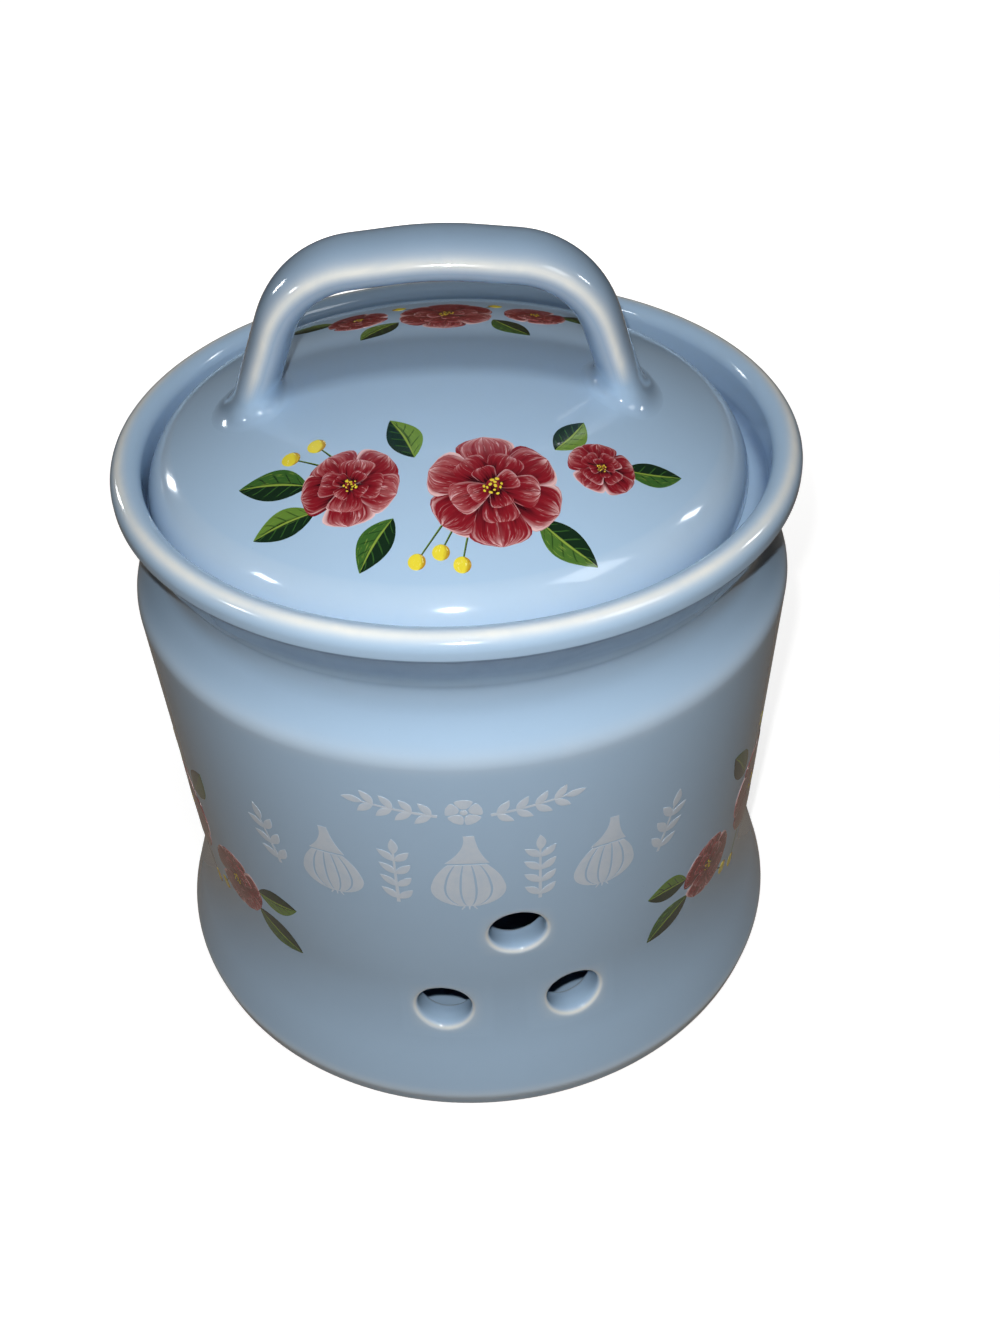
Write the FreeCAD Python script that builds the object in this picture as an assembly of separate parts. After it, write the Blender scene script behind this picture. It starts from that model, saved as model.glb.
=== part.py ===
import FreeCAD, Part

import math
import os

from FreeCAD import Vector

# A glazed stoneware garlic keeper: a footed jar with three air vents low in its front, and a
# domed lid with a strap handle.  Millimetres, +Z up.  The origin is the centre of the foot on
# the table, and -Y is the front, where the vents are.  An azimuth counts from the front, in
# degrees, towards +X.

# ---- jar: outside --------------------------------------------------------------------------
foot_radius = 69.8          # widest point, just above the table
foot_widest_at = 3.8        # height of the widest point
foot_edge_in = 0.8          # the bottom edge lies this far inside the widest point
foot_edge_round = 0.8
foot_bulge_round = 3.0
waist_radius = 63.5         # narrowest part of the wall, above the flare
waist_height = 24.0
waist_round = 60.0          # long hollow curve between flare and wall
shoulder_radius = 66.0      # corner between wall and sloping shoulder, before rounding
shoulder_height = 98.6
shoulder_round = 5.0
shoulder_rise = 8.1         # height of the slope from shoulder to neck
neck_radius = 60.0
neck_rise = 3.9             # height of the straight neck
neck_round = 6.0            # hollow curve between shoulder and neck
neck_flare_rise = 4.6       # height over which the neck flares out into the collar
neck_flare_round = 2.5
collar_wall = 2.3           # wall round the lid's seat, at the collar's foot
collar_rise = 5.3
collar_taper = 2.3          # the collar leans out this much further up to the roll
collar_round = 6.0
rim_radius = 66.0           # rolled rim, outside
roll_thick = 5.7
roll_high = 5.1
roll_low_round = 1.2        # lower outside corner of the roll
roll_under_round = 0.5      # hollow where the roll meets the collar

# ---- jar: inside ---------------------------------------------------------------------------
wall = 6.0
floor_thick = 5.0
foot_recess = 2.4           # hollow under the base
foot_ring_width = 9.0
foot_ring_round = 0.9
floor_round = 7.0
mouth_radius = 53.2         # inside the neck
mouth_round = 1.0
ledge_lift = 0.2            # the lid's seat lies this far above the collar's foot
gallery_round = 1.6

# ---- vents ---------------------------------------------------------------------------------
vent_bore = 11.2
vent_spacing = 27.0         # side of the even triangle that the three vents stand on
vent_low_height = 27.2
vent_top_shift = 1.8        # degrees that the hand-cut top vent stands right of the middle
vent_round = 1.2            # rounded, glazed lip inside and out
vent_margin = 2.0           # wall that the vent panel's node takes in beyond the lips

# ---- lid -----------------------------------------------------------------------------------
lid_clear = 2.3             # play between the lid's edge and the rim, all round
lid_touch_gap = 0.45        # what is left of it on the side that the lid was pushed to
lid_push_azimuth = -80.0
lid_turn = -6.0             # the handle stands this many degrees off the jar's own width
lid_side = 2.05             # straight side of the lid between its seat and its rounded edge
lid_dome_radius = 125.0
lid_edge_round = 10.4
lid_bottom_round = 0.9
lid_wall = 4.8
lid_hollow_round = 6.0
flange_clear = 3.0          # play between the locating flange and the mouth
flange_thick = 4.0
flange_depth = 7.5
flange_round = 1.5

# ---- handle --------------------------------------------------------------------------------
handle_rise = 26.6          # top of the strap above the crown of the dome
strap_width = 16.2
strap_thick = 7.7
handle_shift = -0.6         # the handle was luted this far off the middle of the lid
handle_shoulder_x = 25.8
handle_shoulder_drop = 2.7  # the strap's shoulders lie this far below its middle
handle_shoulder_round = 17.5
handle_crown_round = 70.0
handle_foot_x = 34.0        # where the strap's middle line meets the dome
handle_foot_round = 4.0     # clay worked up round each foot

# ---- fired-on prints -----------------------------------------------------------------------
print_thick = 0.25
print_gap = 0.02            # keeps the film's solid off the glaze's
lid_front_print_y = -33.0   # middles of the two sprays on the dome, from the lid's own axis
lid_rear_print_y = 28.0
jar_print_azimuth = -6.3    # the jar's prints stand this far left of the vents
side_print_spread = 67.0    # degrees from the front print's middle to a side spray's
side_print_height = 49.0
frieze_height = 66.0
garland_height = 86.5
sprig_pitch = 4.2           # length of sprig to each pair of leaves
stalk_width = 0.7

# ---- worked out from the above -------------------------------------------------------------
neck_low = shoulder_height + shoulder_rise
neck_high = neck_low + neck_rise
collar_low = neck_high + neck_flare_rise
roll_bottom = collar_low + collar_rise
rim_height = roll_bottom + roll_high
ledge_height = collar_low + ledge_lift
gallery_radius = rim_radius - roll_thick
roll_round = 0.49 * roll_thick
collar_radius = gallery_radius + collar_wall
collar_top_radius = collar_radius + collar_taper
roll_overhang = rim_radius - collar_top_radius
roll_chamfer = 0.43 * roll_overhang
roll_low = min(roll_low_round, 1.1 * roll_overhang)
roll_under = min(roll_under_round, 0.5 * roll_overhang)
floor_top = foot_recess + floor_thick
vent_high_height = vent_low_height + vent_spacing * math.sin(math.radians(60))
vent_lip = min(vent_round, 0.4 * wall)
lid_radius = gallery_radius - lid_clear
lid_push = lid_clear - lid_touch_gap
edge_centre_rise = math.sqrt((lid_dome_radius - lid_edge_round) ** 2 - (lid_radius - lid_edge_round) ** 2)
dome_centre_height = ledge_height + lid_side - edge_centre_rise
lid_crown_height = dome_centre_height + lid_dome_radius
flange_radius = mouth_radius - flange_clear
flange_low = ledge_height - flange_depth
flange_lip = min(flange_round, 0.45 * flange_thick)
hollow_radius = flange_radius - flange_thick
strap_round = 0.49 * strap_thick
strap_middle = lid_crown_height + handle_rise - strap_thick / 2
handle_shoulder_height = strap_middle - handle_shoulder_drop
strap_sunk = lid_wall + strap_thick   # length that runs on under the dome, to be cut off

ORIGIN = Vector(0, 0, 0)
ALONG_X = Vector(1, 0, 0)
UP = Vector(0, 0, 1)
NEAR = 1e-3                 # tolerance for picking edges out by where they lie


def polar(radius, azimuth, height):
    """Point at an azimuth round the jar's axis."""
    a = math.radians(azimuth)
    return Vector(radius * math.sin(a), -radius * math.cos(a), height)


def rounded(corners, closed=True):
    """Wire through (x, z, round) corners in the XZ plane, with a tangent arc at each corner."""
    points = [Vector(x, 0, z) for x, z, _ in corners]
    count = len(points)
    turns = []
    for i, here in enumerate(points):
        corner_round = corners[i][2]
        is_end = not closed and i in (0, count - 1)
        if corner_round <= 0 or is_end:
            turns.append((here, None, here))
            continue
        back = (points[i - 1] - here).normalize()
        ahead = (points[(i + 1) % count] - here).normalize()
        half = back.getAngle(ahead) / 2
        reach = corner_round / math.tan(half)
        depth = corner_round / math.sin(half) - corner_round
        middle = here + (back + ahead).normalize() * depth
        turns.append((here + back * reach, middle, here + ahead * reach))
    edges = []
    for i, (start, middle, finish) in enumerate(turns):
        if middle is not None:
            edges.append(Part.Arc(start, middle, finish).toShape())
        if closed or i < count - 1:
            after = turns[(i + 1) % count][0]
            if finish.distanceToPoint(after) > 1e-6:
                edges.append(Part.LineSegment(finish, after).toShape())
    return Part.Wire(edges)


def spin(wire):
    """Solid of revolution of a closed wire in the XZ plane."""
    return Part.Face(wire).revolve(ORIGIN, UP, 360)


def inset(before, corner, after, depth):
    """Corner moved inwards by a depth, square to both straight runs that meet in it."""
    lines = []
    for a, b in ((before, corner), (corner, after)):
        run_x = b[0] - a[0]
        run_z = b[1] - a[1]
        length = math.hypot(run_x, run_z)
        lines.append((a[0] - run_z / length * depth, a[1] + run_x / length * depth, run_x, run_z))
    (x1, z1, dx1, dz1), (x2, z2, dx2, dz2) = lines
    t = ((x2 - x1) * dz2 - (z2 - z1) * dx2) / (dx1 * dz2 - dz1 * dx2)
    return x1 + t * dx1, z1 + t * dz1


# ---- jar -----------------------------------------------------------------------------------
foot_corner = (foot_radius, foot_widest_at)
waist_corner = (waist_radius, waist_height)
shoulder_corner = (shoulder_radius, shoulder_height)
neck_corner = (neck_radius, neck_low)


def jar_outside():
    return [
        (foot_radius - foot_edge_in, 0, foot_edge_round),
        (*foot_corner, foot_bulge_round),
        (*waist_corner, waist_round),
        (*shoulder_corner, shoulder_round),
        (*neck_corner, neck_round),
        (neck_radius, neck_high, neck_flare_round),
        (collar_radius, collar_low, collar_round),
        (collar_top_radius, roll_bottom, roll_under),
        (rim_radius, roll_bottom + roll_chamfer, roll_low),
        (rim_radius, rim_height, roll_round),
        (gallery_radius, rim_height, roll_round),
    ]


def jar_inside():
    waist_in = inset(foot_corner, waist_corner, shoulder_corner, wall)
    shoulder_in = inset(waist_corner, shoulder_corner, neck_corner, wall)
    shoulder_rise = (neck_low - shoulder_height) / (shoulder_radius - neck_radius)
    mouth_low = shoulder_in[1] + (shoulder_in[0] - mouth_radius) * shoulder_rise
    flare = (foot_radius - waist_radius) / (waist_height - foot_widest_at)
    floor_radius = waist_in[0] + (waist_in[1] - floor_top) * flare
    return [
        (gallery_radius, ledge_height, gallery_round),
        (mouth_radius, ledge_height, mouth_round),
        (mouth_radius, mouth_low, neck_round),
        (*shoulder_in, shoulder_round),
        (*waist_in, waist_round),
        (floor_radius, floor_top, floor_round),
        (0, floor_top, 0),
    ]


def jar_underside():
    ring_inside = foot_radius - foot_edge_in - foot_ring_width
    return [
        (0, foot_recess, 0),
        (ring_inside - foot_recess, foot_recess, foot_ring_round),
        (ring_inside, 0, foot_ring_round),
    ]


def vent_places():
    """Azimuth and height of each vent."""
    spread = math.degrees(vent_spacing / 2 / waist_radius)
    lower = [(-spread, vent_low_height), (spread, vent_low_height)]
    return lower + [(vent_top_shift, vent_high_height)]


def on_a_bore(edge):
    """True for an edge that lies all along the wall of one vent."""
    points = edge.discretize(6)
    for azimuth, height in vent_places():
        axis = polar(1, azimuth, 0)
        away = [point - UP * height for point in points]
        gaps = [(p - axis * p.dot(axis)).Length - vent_bore / 2 for p in away]
        if max(abs(gap) for gap in gaps) < NEAR and away[0].dot(axis) > 0:
            return True
    return False


def vented(body):
    """Radial holes through the wall, each with both lips rounded."""
    reach = 2 * wall
    for azimuth, height in vent_places():
        start = polar(waist_radius - reach, azimuth, height)
        drill = Part.makeCylinder(vent_bore / 2, 2 * reach, start, polar(1, azimuth, 0))
        body = body.cut(drill)
    lips = [edge for edge in body.Edges if edge.Length > vent_bore and on_a_bore(edge)]
    return body.makeFillet(vent_lip, lips)


def make_jar():
    """The casting, in nodes that meet face to face: a ring of wall, its floor and its vent panel.

    Each is simple enough for collision hulls that leave the room and the vents open.
    """
    casting = vented(spin(rounded(jar_underside() + jar_outside() + jar_inside())))
    middle = Part.makeCylinder(mouth_radius, floor_top)
    around = vent_bore / 2 + vent_round + vent_margin
    width = vent_spacing + 2 * around
    height = vent_high_height - vent_low_height + 2 * around
    corner = Vector(-width / 2, -foot_radius, vent_low_height - around)
    front = Part.makeBox(width, foot_radius, height, corner)
    return {
        "jar": casting.cut([middle, front]),
        "jar_floor": casting.common(middle),
        "jar_vent_panel": casting.common(front),
    }


# ---- lid -----------------------------------------------------------------------------------
def dome_solid(radius, dome_radius, edge_round, bottom):
    """Solid under a dome about the dome's centre, rounded into a straight side."""
    edge_x = radius - edge_round
    edge_rise = math.sqrt((dome_radius - edge_round) ** 2 - edge_x ** 2)
    lean = math.atan2(edge_rise, edge_x)
    edge_centre = Vector(edge_x, 0, dome_centre_height + edge_rise)
    dome_centre = Vector(0, 0, dome_centre_height)

    def at(centre, arc_radius, angle):
        return centre + Vector(math.cos(angle), 0, math.sin(angle)) * arc_radius

    middle = Vector(0, 0, bottom)
    low = Vector(radius, 0, bottom)
    side = at(edge_centre, edge_round, 0)
    tangent = at(dome_centre, dome_radius, lean)
    top = at(dome_centre, dome_radius, math.pi / 2)
    outline = Part.Wire([
        Part.LineSegment(middle, low).toShape(),
        Part.LineSegment(low, side).toShape(),
        Part.Arc(side, at(edge_centre, edge_round, lean / 2), tangent).toShape(),
        Part.Arc(tangent, at(dome_centre, dome_radius, (lean + math.pi / 2) / 2), top).toShape(),
        Part.LineSegment(top, middle).toShape(),
    ])
    return spin(outline)


def lid_blank(grow=0.0):
    """Outside of the lid above its seat, as a full solid, grown by a film's thickness."""
    return dome_solid(lid_radius + grow, lid_dome_radius + grow, lid_edge_round + grow, ledge_height)


def make_lid():
    blank = lid_blank()
    seat_rim = [e for e in blank.Edges if e.Closed and e.BoundBox.ZMax < ledge_height + NEAR]
    blank = blank.makeFillet(lid_bottom_round, seat_rim)
    flange_high = ledge_height + lid_wall / 2
    flange = spin(rounded([
        (hollow_radius, flange_low, flange_lip),
        (flange_radius, flange_low, flange_lip),
        (flange_radius, flange_high, 0),
        (hollow_radius, flange_high, 0),
    ]))
    hollow_low = flange_low + flange_lip
    hollow = dome_solid(hollow_radius, lid_dome_radius - lid_wall, lid_hollow_round, hollow_low)
    return blank.fuse(flange).cut(hollow).removeSplitter()


# ---- handle --------------------------------------------------------------------------------
def strap_section(at, along):
    """Rounded oblong across the strap at a point, square to a direction in the XZ plane."""
    half_width = strap_width / 2
    half_thick = strap_thick / 2
    section = rounded([
        (-half_thick, -half_width, strap_round),
        (half_thick, -half_width, strap_round),
        (half_thick, half_width, strap_round),
        (-half_thick, half_width, strap_round),
    ])
    section.rotate(ORIGIN, ALONG_X, -90)
    across = FreeCAD.Placement(at, FreeCAD.Rotation(UP, along))
    section.Placement = across.multiply(section.Placement)
    return section


def strap():
    """The strap, swept along its middle line and run on under the dome at both ends."""
    foot_height = dome_centre_height + math.sqrt(lid_dome_radius ** 2 - handle_foot_x ** 2)
    lean = (handle_foot_x - handle_shoulder_x) / (handle_shoulder_height - foot_height)
    root_x = handle_foot_x + lean * strap_sunk
    root_height = foot_height - strap_sunk
    line = rounded([
        (-root_x, root_height, 0),
        (-handle_shoulder_x, handle_shoulder_height, handle_shoulder_round),
        (0, strap_middle, handle_crown_round),
        (handle_shoulder_x, handle_shoulder_height, handle_shoulder_round),
        (root_x, root_height, 0),
    ], closed=False)
    start = Vector(-root_x, 0, root_height)
    along = Vector(lean, 0, 1).normalize()
    swept = line.makePipeShell([strap_section(start, along)], True, False)
    swept.translate(ALONG_X * handle_shift)
    return swept


def on_the_seam(edge):
    """True for an edge that lies on the dome, round a foot of the strap."""
    centre = UP * dome_centre_height
    points = edge.discretize(4)
    off_dome = max(abs((p - centre).Length - lid_dome_radius) for p in points)
    off_foot = max(abs(abs(p.x - handle_shift) - handle_foot_x) for p in points)
    off_middle = max(abs(p.y) for p in points)
    return off_dome < NEAR and off_foot < strap_thick and off_middle < strap_width


def make_handle():
    """Strap with a hollow curve of clay round each foot, cut to the dome it is luted to."""
    blank = lid_blank()
    joined = blank.fuse(strap())
    seams = [edge for edge in joined.Edges if not edge.Degenerated and on_the_seam(edge)]
    return joined.makeFillet(handle_foot_round, seams).cut(blank)


# ---- prints: shapes ------------------------------------------------------------------------
# Every shape is a prism about the origin along +Z, drawn in X (right) and Y (up the print).
PRISM = 30.0


def prism(edges):
    face = Part.Face(Part.Wire(edges))
    face.translate(UP * (-PRISM / 2))
    return face.extrude(UP * PRISM)


def turned(shape, x, y, angle):
    """The shape turned counter-clockwise about the origin and then moved."""
    shape.rotate(ORIGIN, UP, angle)
    shape.translate(Vector(x, y, 0))
    return shape


def berry(radius):
    return prism([Part.Circle(ORIGIN, UP, radius).toShape()])


def blossom(radius, petals):
    """Open flower seen from above: a ring of round petals about a middle."""
    share = math.sin(math.pi / petals)
    petal = 1.12 * radius * share / (1 + share)
    out = radius - petal
    parts = []
    for i in range(petals):
        a = 2 * math.pi * i / petals
        parts.append(turned(berry(petal), out * math.sin(a), out * math.cos(a), 0))
    return berry(out).fuse(parts)


def open_flower(radius):
    return blossom(radius, 6)


def small_flower(radius):
    return blossom(radius, 5)


def leaf(length, width):
    """Pointed leaf from its stalk at the origin along +Y."""
    root = ORIGIN
    tip = Vector(0, length, 0)
    right = Part.Arc(root, Vector(width / 2, length / 2, 0), tip).toShape()
    left = Part.Arc(tip, Vector(-width / 2, length / 2, 0), root).toShape()
    return prism([right, left])


def bulb(radius):
    """Garlic bulb: a round body drawn up into a stalk, in one smooth line."""
    right = [(0.16, 2.1), (0.17, 1.5), (0.4, 0.95), (0.92, 0.4), (1.08, -0.25), (0.66, -0.86)]
    half = [Vector(radius * x, radius * y, 0) for x, y in right]
    other = [Vector(-p.x, p.y, 0) for p in reversed(half)]
    line = Part.BSplineCurve()
    line.interpolate(Points=half + other, PeriodicFlag=True)
    return prism([line.toShape()])


def sprig(height):
    """Upright sprig: pairs of leaves on a thin stalk, and one leaf at its tip."""
    pairs = int(height / sprig_pitch)
    step = height / (pairs + 1)
    long = 1.15 * step
    wide = 0.45 * step
    parts = []
    for i in range(pairs):
        for side in (-1, 1):
            parts.append(turned(leaf(long, wide), 0, (i + 0.3) * step, side * 46))
    parts.append(turned(leaf(long, wide), 0, height - long, 0))
    corner = Vector(-stalk_width / 2, 0, -PRISM / 2)
    return Part.makeBox(stalk_width, height - long / 2, PRISM, corner).fuse(parts)


# Each motif: (shape, its sizes, x, y, turn in degrees counter-clockwise).
LID_SPRAY = [
    (open_flower, (12.6,), 8.5, -0.5, 10),
    (small_flower, (9.0,), -16.0, 1.5, 30),
    (small_flower, (6.2,), 27.5, 6.0, 0),
    (leaf, (13.0, 7.0), -23.5, 3.0, 76),
    (leaf, (11.0, 6.2), -22.0, -3.0, 106),
    (leaf, (11.0, 6.0), -8.5, -6.5, 150),
    (leaf, (11.0, 6.2), -5.0, 6.5, 24),
    (leaf, (12.0, 6.4), 16.0, -7.0, -128),
    (leaf, (10.5, 5.5), 31.5, 6.5, -82),
    (leaf, (10.0, 5.5), 19.5, 9.0, -34),
    (berry, (1.7,), -27.0, 10.5, 0),
    (berry, (1.7,), -22.5, 12.5, 0),
    (berry, (1.5,), -0.5, -13.5, 0),
    (berry, (1.5,), -4.5, -15.0, 0),
    (berry, (1.5,), 3.0, -15.8, 0),
]
REAR_SPRAY = [
    (open_flower, (10.5,), 0.0, 0.0, 0),
    (small_flower, (6.6,), -18.0, -1.5, 20),
    (small_flower, (6.6,), 18.0, -1.5, -20),
    (leaf, (11.0, 6.0), -9.5, 4.0, 40),
    (leaf, (11.0, 6.0), 9.5, 4.0, -40),
    (leaf, (11.0, 6.0), -23.0, -2.5, 100),
    (leaf, (11.0, 6.0), 23.0, -2.5, -100),
    (berry, (1.5,), -10.0, -8.0, 0),
    (berry, (1.5,), 10.0, -8.0, 0),
]
SIDE_SPRAY = [
    (open_flower, (12.0,), 2.0, 1.0, 15),
    (small_flower, (8.4,), -19.0, -5.5, 0),
    (small_flower, (6.5,), 21.0, 8.5, 25),
    (leaf, (13.0, 7.0), -25.5, -9.5, 122),
    (leaf, (11.0, 6.5), -26.5, -3.5, 82),
    (leaf, (13.0, 6.5), -6.0, 10.5, 35),
    (leaf, (14.0, 7.0), 9.5, -8.5, -145),
    (leaf, (13.0, 6.5), 26.5, 11.0, -62),
    (leaf, (12.0, 6.0), 24.5, 2.0, -115),
    (leaf, (10.0, 5.5), 11.5, 12.5, -15),
    (berry, (1.7,), -11.0, -14.0, 0),
    (berry, (1.7,), -6.0, -16.5, 0),
    (berry, (1.7,), 4.0, 17.5, 0),
]
FRIEZE = [
    (bulb, (6.6,), 0.0, 0.5, 0),
    (bulb, (6.0,), -26.0, -0.5, 4),
    (bulb, (6.0,), 26.0, -0.5, -4),
    (sprig, (18.0,), -13.2, -5.5, 0),
    (sprig, (18.0,), 13.2, -5.5, 0),
    (sprig, (15.5,), -38.0, -4.5, 16),
    (sprig, (15.5,), 38.0, -4.5, -16),
]
GARLAND = [
    (small_flower, (3.4,), 0.0, 0.0, 0),
    (sprig, (17.0,), 4.6, -1.0, -81),
    (sprig, (17.0,), -4.6, -1.0, 81),
]


def mirrored(motifs):
    return [(shape, sizes, -x, y, -turn) for shape, sizes, x, y, turn in motifs]


# ---- prints: films on the glaze ------------------------------------------------------------
def lid_film():
    return lid_blank(print_gap + print_thick).cut(lid_blank(print_gap))


def jar_film():
    """Thin sleeve over the wall between flare and shoulder."""
    inner = [(*foot_corner, 0), (*waist_corner, waist_round), (*shoulder_corner, 0)]
    inner = [(x + print_gap, z, corner_round) for x, z, corner_round in inner]
    outer = [(x + print_thick, z, corner_round) for x, z, corner_round in reversed(inner)]
    return spin(rounded(inner + outer))


def fused(shapes):
    return shapes[0].fuse(shapes[1:])


def make_lid_print(motifs, middle_y, turn):
    """Spray on the dome, its prisms upright."""
    prisms = [turned(shape(*sizes), x, y, angle) for shape, sizes, x, y, angle in motifs]
    spray = turned(fused(prisms), 0, 0, turn)
    spray.translate(Vector(0, middle_y, lid_crown_height - PRISM / 3))
    return spray.common(lid_film())


def make_jar_print(groups):
    """Sprays on the wall: each motif's prism points straight out at its own azimuth."""
    prisms = []
    for motifs, azimuth, height in groups:
        for shape, sizes, x, y, angle in motifs:
            motif = turned(shape(*sizes), 0, 0, angle)
            motif.rotate(ORIGIN, ALONG_X, 90)
            away = azimuth + math.degrees(x / waist_radius)
            motif.rotate(ORIGIN, UP, away)
            motif.translate(polar(shoulder_radius, away, height + y))
            prisms.append(motif)
    return fused(prisms).common(jar_film())


# ---- assembly ------------------------------------------------------------------------------
def on_the_jar(shape):
    """Turns a piece of the lid and pushes it to one side of the lid's play."""
    shape.rotate(ORIGIN, UP, lid_turn)
    shape.translate(polar(lid_push, lid_push_azimuth, 0))
    return shape


def make_all():
    middle = jar_print_azimuth
    left = middle - side_print_spread
    right = middle + side_print_spread
    front = [(FRIEZE, middle, frieze_height), (GARLAND, middle, garland_height)]
    return {
        **make_jar(),
        "lid": on_the_jar(make_lid()),
        "lid_handle": on_the_jar(make_handle()),
        "lid_front_print": on_the_jar(make_lid_print(LID_SPRAY, lid_front_print_y, 0)),
        "lid_rear_print": on_the_jar(make_lid_print(REAR_SPRAY, lid_rear_print_y, 180)),
        "jar_left_print": make_jar_print([(mirrored(SIDE_SPRAY), left, side_print_height)]),
        "jar_right_print": make_jar_print([(SIDE_SPRAY, right, side_print_height)]),
        "jar_front_print": make_jar_print(front),
    }


os.makedirs("parts", exist_ok=True)
for name, shape in make_all().items():
    shape.exportStep("parts/" + name + ".step")
    print(name, "solids", len(shape.Solids), "valid", shape.isValid(), "volume", round(shape.Volume, 1))
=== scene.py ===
"""Looks for a glazed stoneware garlic keeper: jar, domed lid, strap handle and fired-on flower prints."""

import collections
import math

import bpy
import numpy as np
from bpy.props import FloatProperty, FloatVectorProperty, IntProperty, PointerProperty
from mathutils import Matrix, Vector


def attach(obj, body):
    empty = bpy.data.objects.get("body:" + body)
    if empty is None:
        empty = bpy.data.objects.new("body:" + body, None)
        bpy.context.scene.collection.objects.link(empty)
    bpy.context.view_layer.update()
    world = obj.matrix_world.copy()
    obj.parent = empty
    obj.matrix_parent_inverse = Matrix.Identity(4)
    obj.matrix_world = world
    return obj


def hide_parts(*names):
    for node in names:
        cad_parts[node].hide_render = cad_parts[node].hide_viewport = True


bl_info = {
    "name": "Garlic Keeper",
    "version": (1, 0, 0),
    "blender": (4, 5, 0),
    "location": "View3D > Sidebar > Keeper",
    "description": "Builds a glazed garlic keeper with a strap-handled lid and flower prints",
    "category": "Object",
}

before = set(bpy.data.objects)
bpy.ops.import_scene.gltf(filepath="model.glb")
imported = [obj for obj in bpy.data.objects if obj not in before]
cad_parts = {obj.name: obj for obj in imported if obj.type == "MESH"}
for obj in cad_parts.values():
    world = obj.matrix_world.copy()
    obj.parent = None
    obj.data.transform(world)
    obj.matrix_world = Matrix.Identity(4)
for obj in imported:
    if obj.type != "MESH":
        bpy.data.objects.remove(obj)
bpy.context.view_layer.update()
JAR_NODES = ("jar", "jar_floor", "jar_vent_panel")
MM = 0.001


# ---- settings ------------------------------------------------------------------------------
def length(name, description, default_mm):
    return FloatProperty(
        name=name, description=description, default=default_mm * MM, min=0.0, unit="LENGTH", precision=5
    )


def colour(name, description, default):
    return FloatVectorProperty(
        name=name, description=description, default=default, size=3, min=0.0, max=1.0, subtype="COLOR"
    )


def amount(name, description, default):
    return FloatProperty(
        name=name, description=description, default=default, min=0.0, max=1.0, subtype="FACTOR"
    )


def watts(name, description, default):
    return FloatProperty(name=name, description=description, default=default, min=0.0, unit="POWER")


def faces_round(description, default):
    return IntProperty(name="Segments", description=description, default=default, min=64, max=360)


class JarSettings(bpy.types.PropertyGroup):
    foot_radius: length("Foot radius", "Widest point, just above the table", 69.8)
    waist_radius: length("Waist radius", "Narrowest part of the wall", 63.5)
    shoulder_radius: length("Shoulder radius", "Corner between wall and shoulder", 66.0)
    neck_radius: length("Neck radius", "Outside of the neck", 60.0)
    rim_radius: length("Rim radius", "Outside of the rolled rim", 66.0)
    wall: length("Wall", "Thickness of the wall", 6.0)
    vent_bore: length("Vent bore", "Width of each air vent", 11.2)
    vent_lip: length("Vent lip", "Rounding of the vents' glazed lips", 1.2)
    segments: faces_round("Faces round the jar", 280)


class LidSettings(bpy.types.PropertyGroup):
    radius: length("Radius", "Outside of the lid", 58.0)
    dome_radius: length("Dome radius", "Radius of the dome's curve", 125.0)
    edge_round: length("Edge rounding", "Rounding between dome and side", 10.4)
    wall: length("Wall", "Thickness of the dome", 4.8)
    turn: FloatProperty(
        name="Turn", description="How far the lid is turned on the jar",
        default=math.radians(-6.0), subtype="ANGLE",
    )
    segments: faces_round("Faces round the lid", 256)


class HandleSettings(bpy.types.PropertyGroup):
    strap_width: length("Strap width", "Width of the strap", 16.2)
    strap_thick: length("Strap thickness", "Thickness of the strap", 7.7)
    foot_round: length("Foot rounding", "Clay worked up round each foot", 4.0)


class GlazeSettings(bpy.types.PropertyGroup):
    body: colour("Body", "Glaze where it lies evenly", (0.390, 0.550, 0.735))
    # The thin colour also gives the painted highlights on the roll's crest, the vent lips and the handle, and
    # the pool colour gives the painted shade under the roll, in the gallery and under the handle.
    thin: colour("Thin", "Glaze where it runs thin over edges", (0.80, 0.82, 0.80))
    pool: colour("Pool", "Glaze where it gathers in hollows", (0.130, 0.210, 0.350))
    bare: colour("Bare clay", "Unglazed clay of the foot ring", (0.62, 0.55, 0.45))
    cloud: amount("Clouding", "Soft light and dark drifts in the glaze", 0.025)
    mottle: amount("Mottling", "Fine mottling of the glaze", 0.008)


class PrintSettings(bpy.types.PropertyGroup):
    film: length("Film", "Height of the lowest brush stroke over the glaze", 0.04)
    layer: length("Layer", "Step from one brush stroke to the next over it", 0.014)
    petal_dark: colour("Petal dark", "Shaded heart of a petal", (0.045, 0.003, 0.006))
    petal_red: colour("Petal red", "Body of a petal", (0.235, 0.010, 0.018))
    petal_rose: colour("Petal rose", "Outer part of a petal", (0.375, 0.085, 0.092))
    petal_pale: colour("Petal pale", "Pale brush strokes on a petal's edge", (0.80, 0.56, 0.56))
    leaf_dark: colour("Leaf dark", "Shaded half of a leaf", (0.007, 0.024, 0.010))
    leaf_green: colour("Leaf green", "Body of a leaf", (0.040, 0.120, 0.022))
    leaf_light: colour("Leaf light", "Rib and light strokes of a leaf", (0.300, 0.420, 0.060))
    yellow: colour("Yellow", "Berries and stamens", (0.780, 0.660, 0.045))
    pale: colour("Pale print", "Frieze on the jar's front", (0.620, 0.700, 0.800))
    seed: IntProperty(name="Seed", description="Hand-painted variation", default=7, min=0)


class StageSettings(bpy.types.PropertyGroup):
    floor: colour("Floor", "Colour of the floor", (0.60, 0.60, 0.60))
    key: watts("Key light", "Close light in front", 0.56)
    fill: watts("Fill light", "Softened lamp overhead", 2.6)
    back: watts("Back light", "Soft light low behind", 0.60)


class KeeperSettings(bpy.types.PropertyGroup):
    jar: PointerProperty(type=JarSettings)
    lid: PointerProperty(type=LidSettings)
    handle: PointerProperty(type=HandleSettings)
    glaze: PointerProperty(type=GlazeSettings)
    prints: PointerProperty(type=PrintSettings)
    stage: PointerProperty(type=StageSettings)


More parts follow.
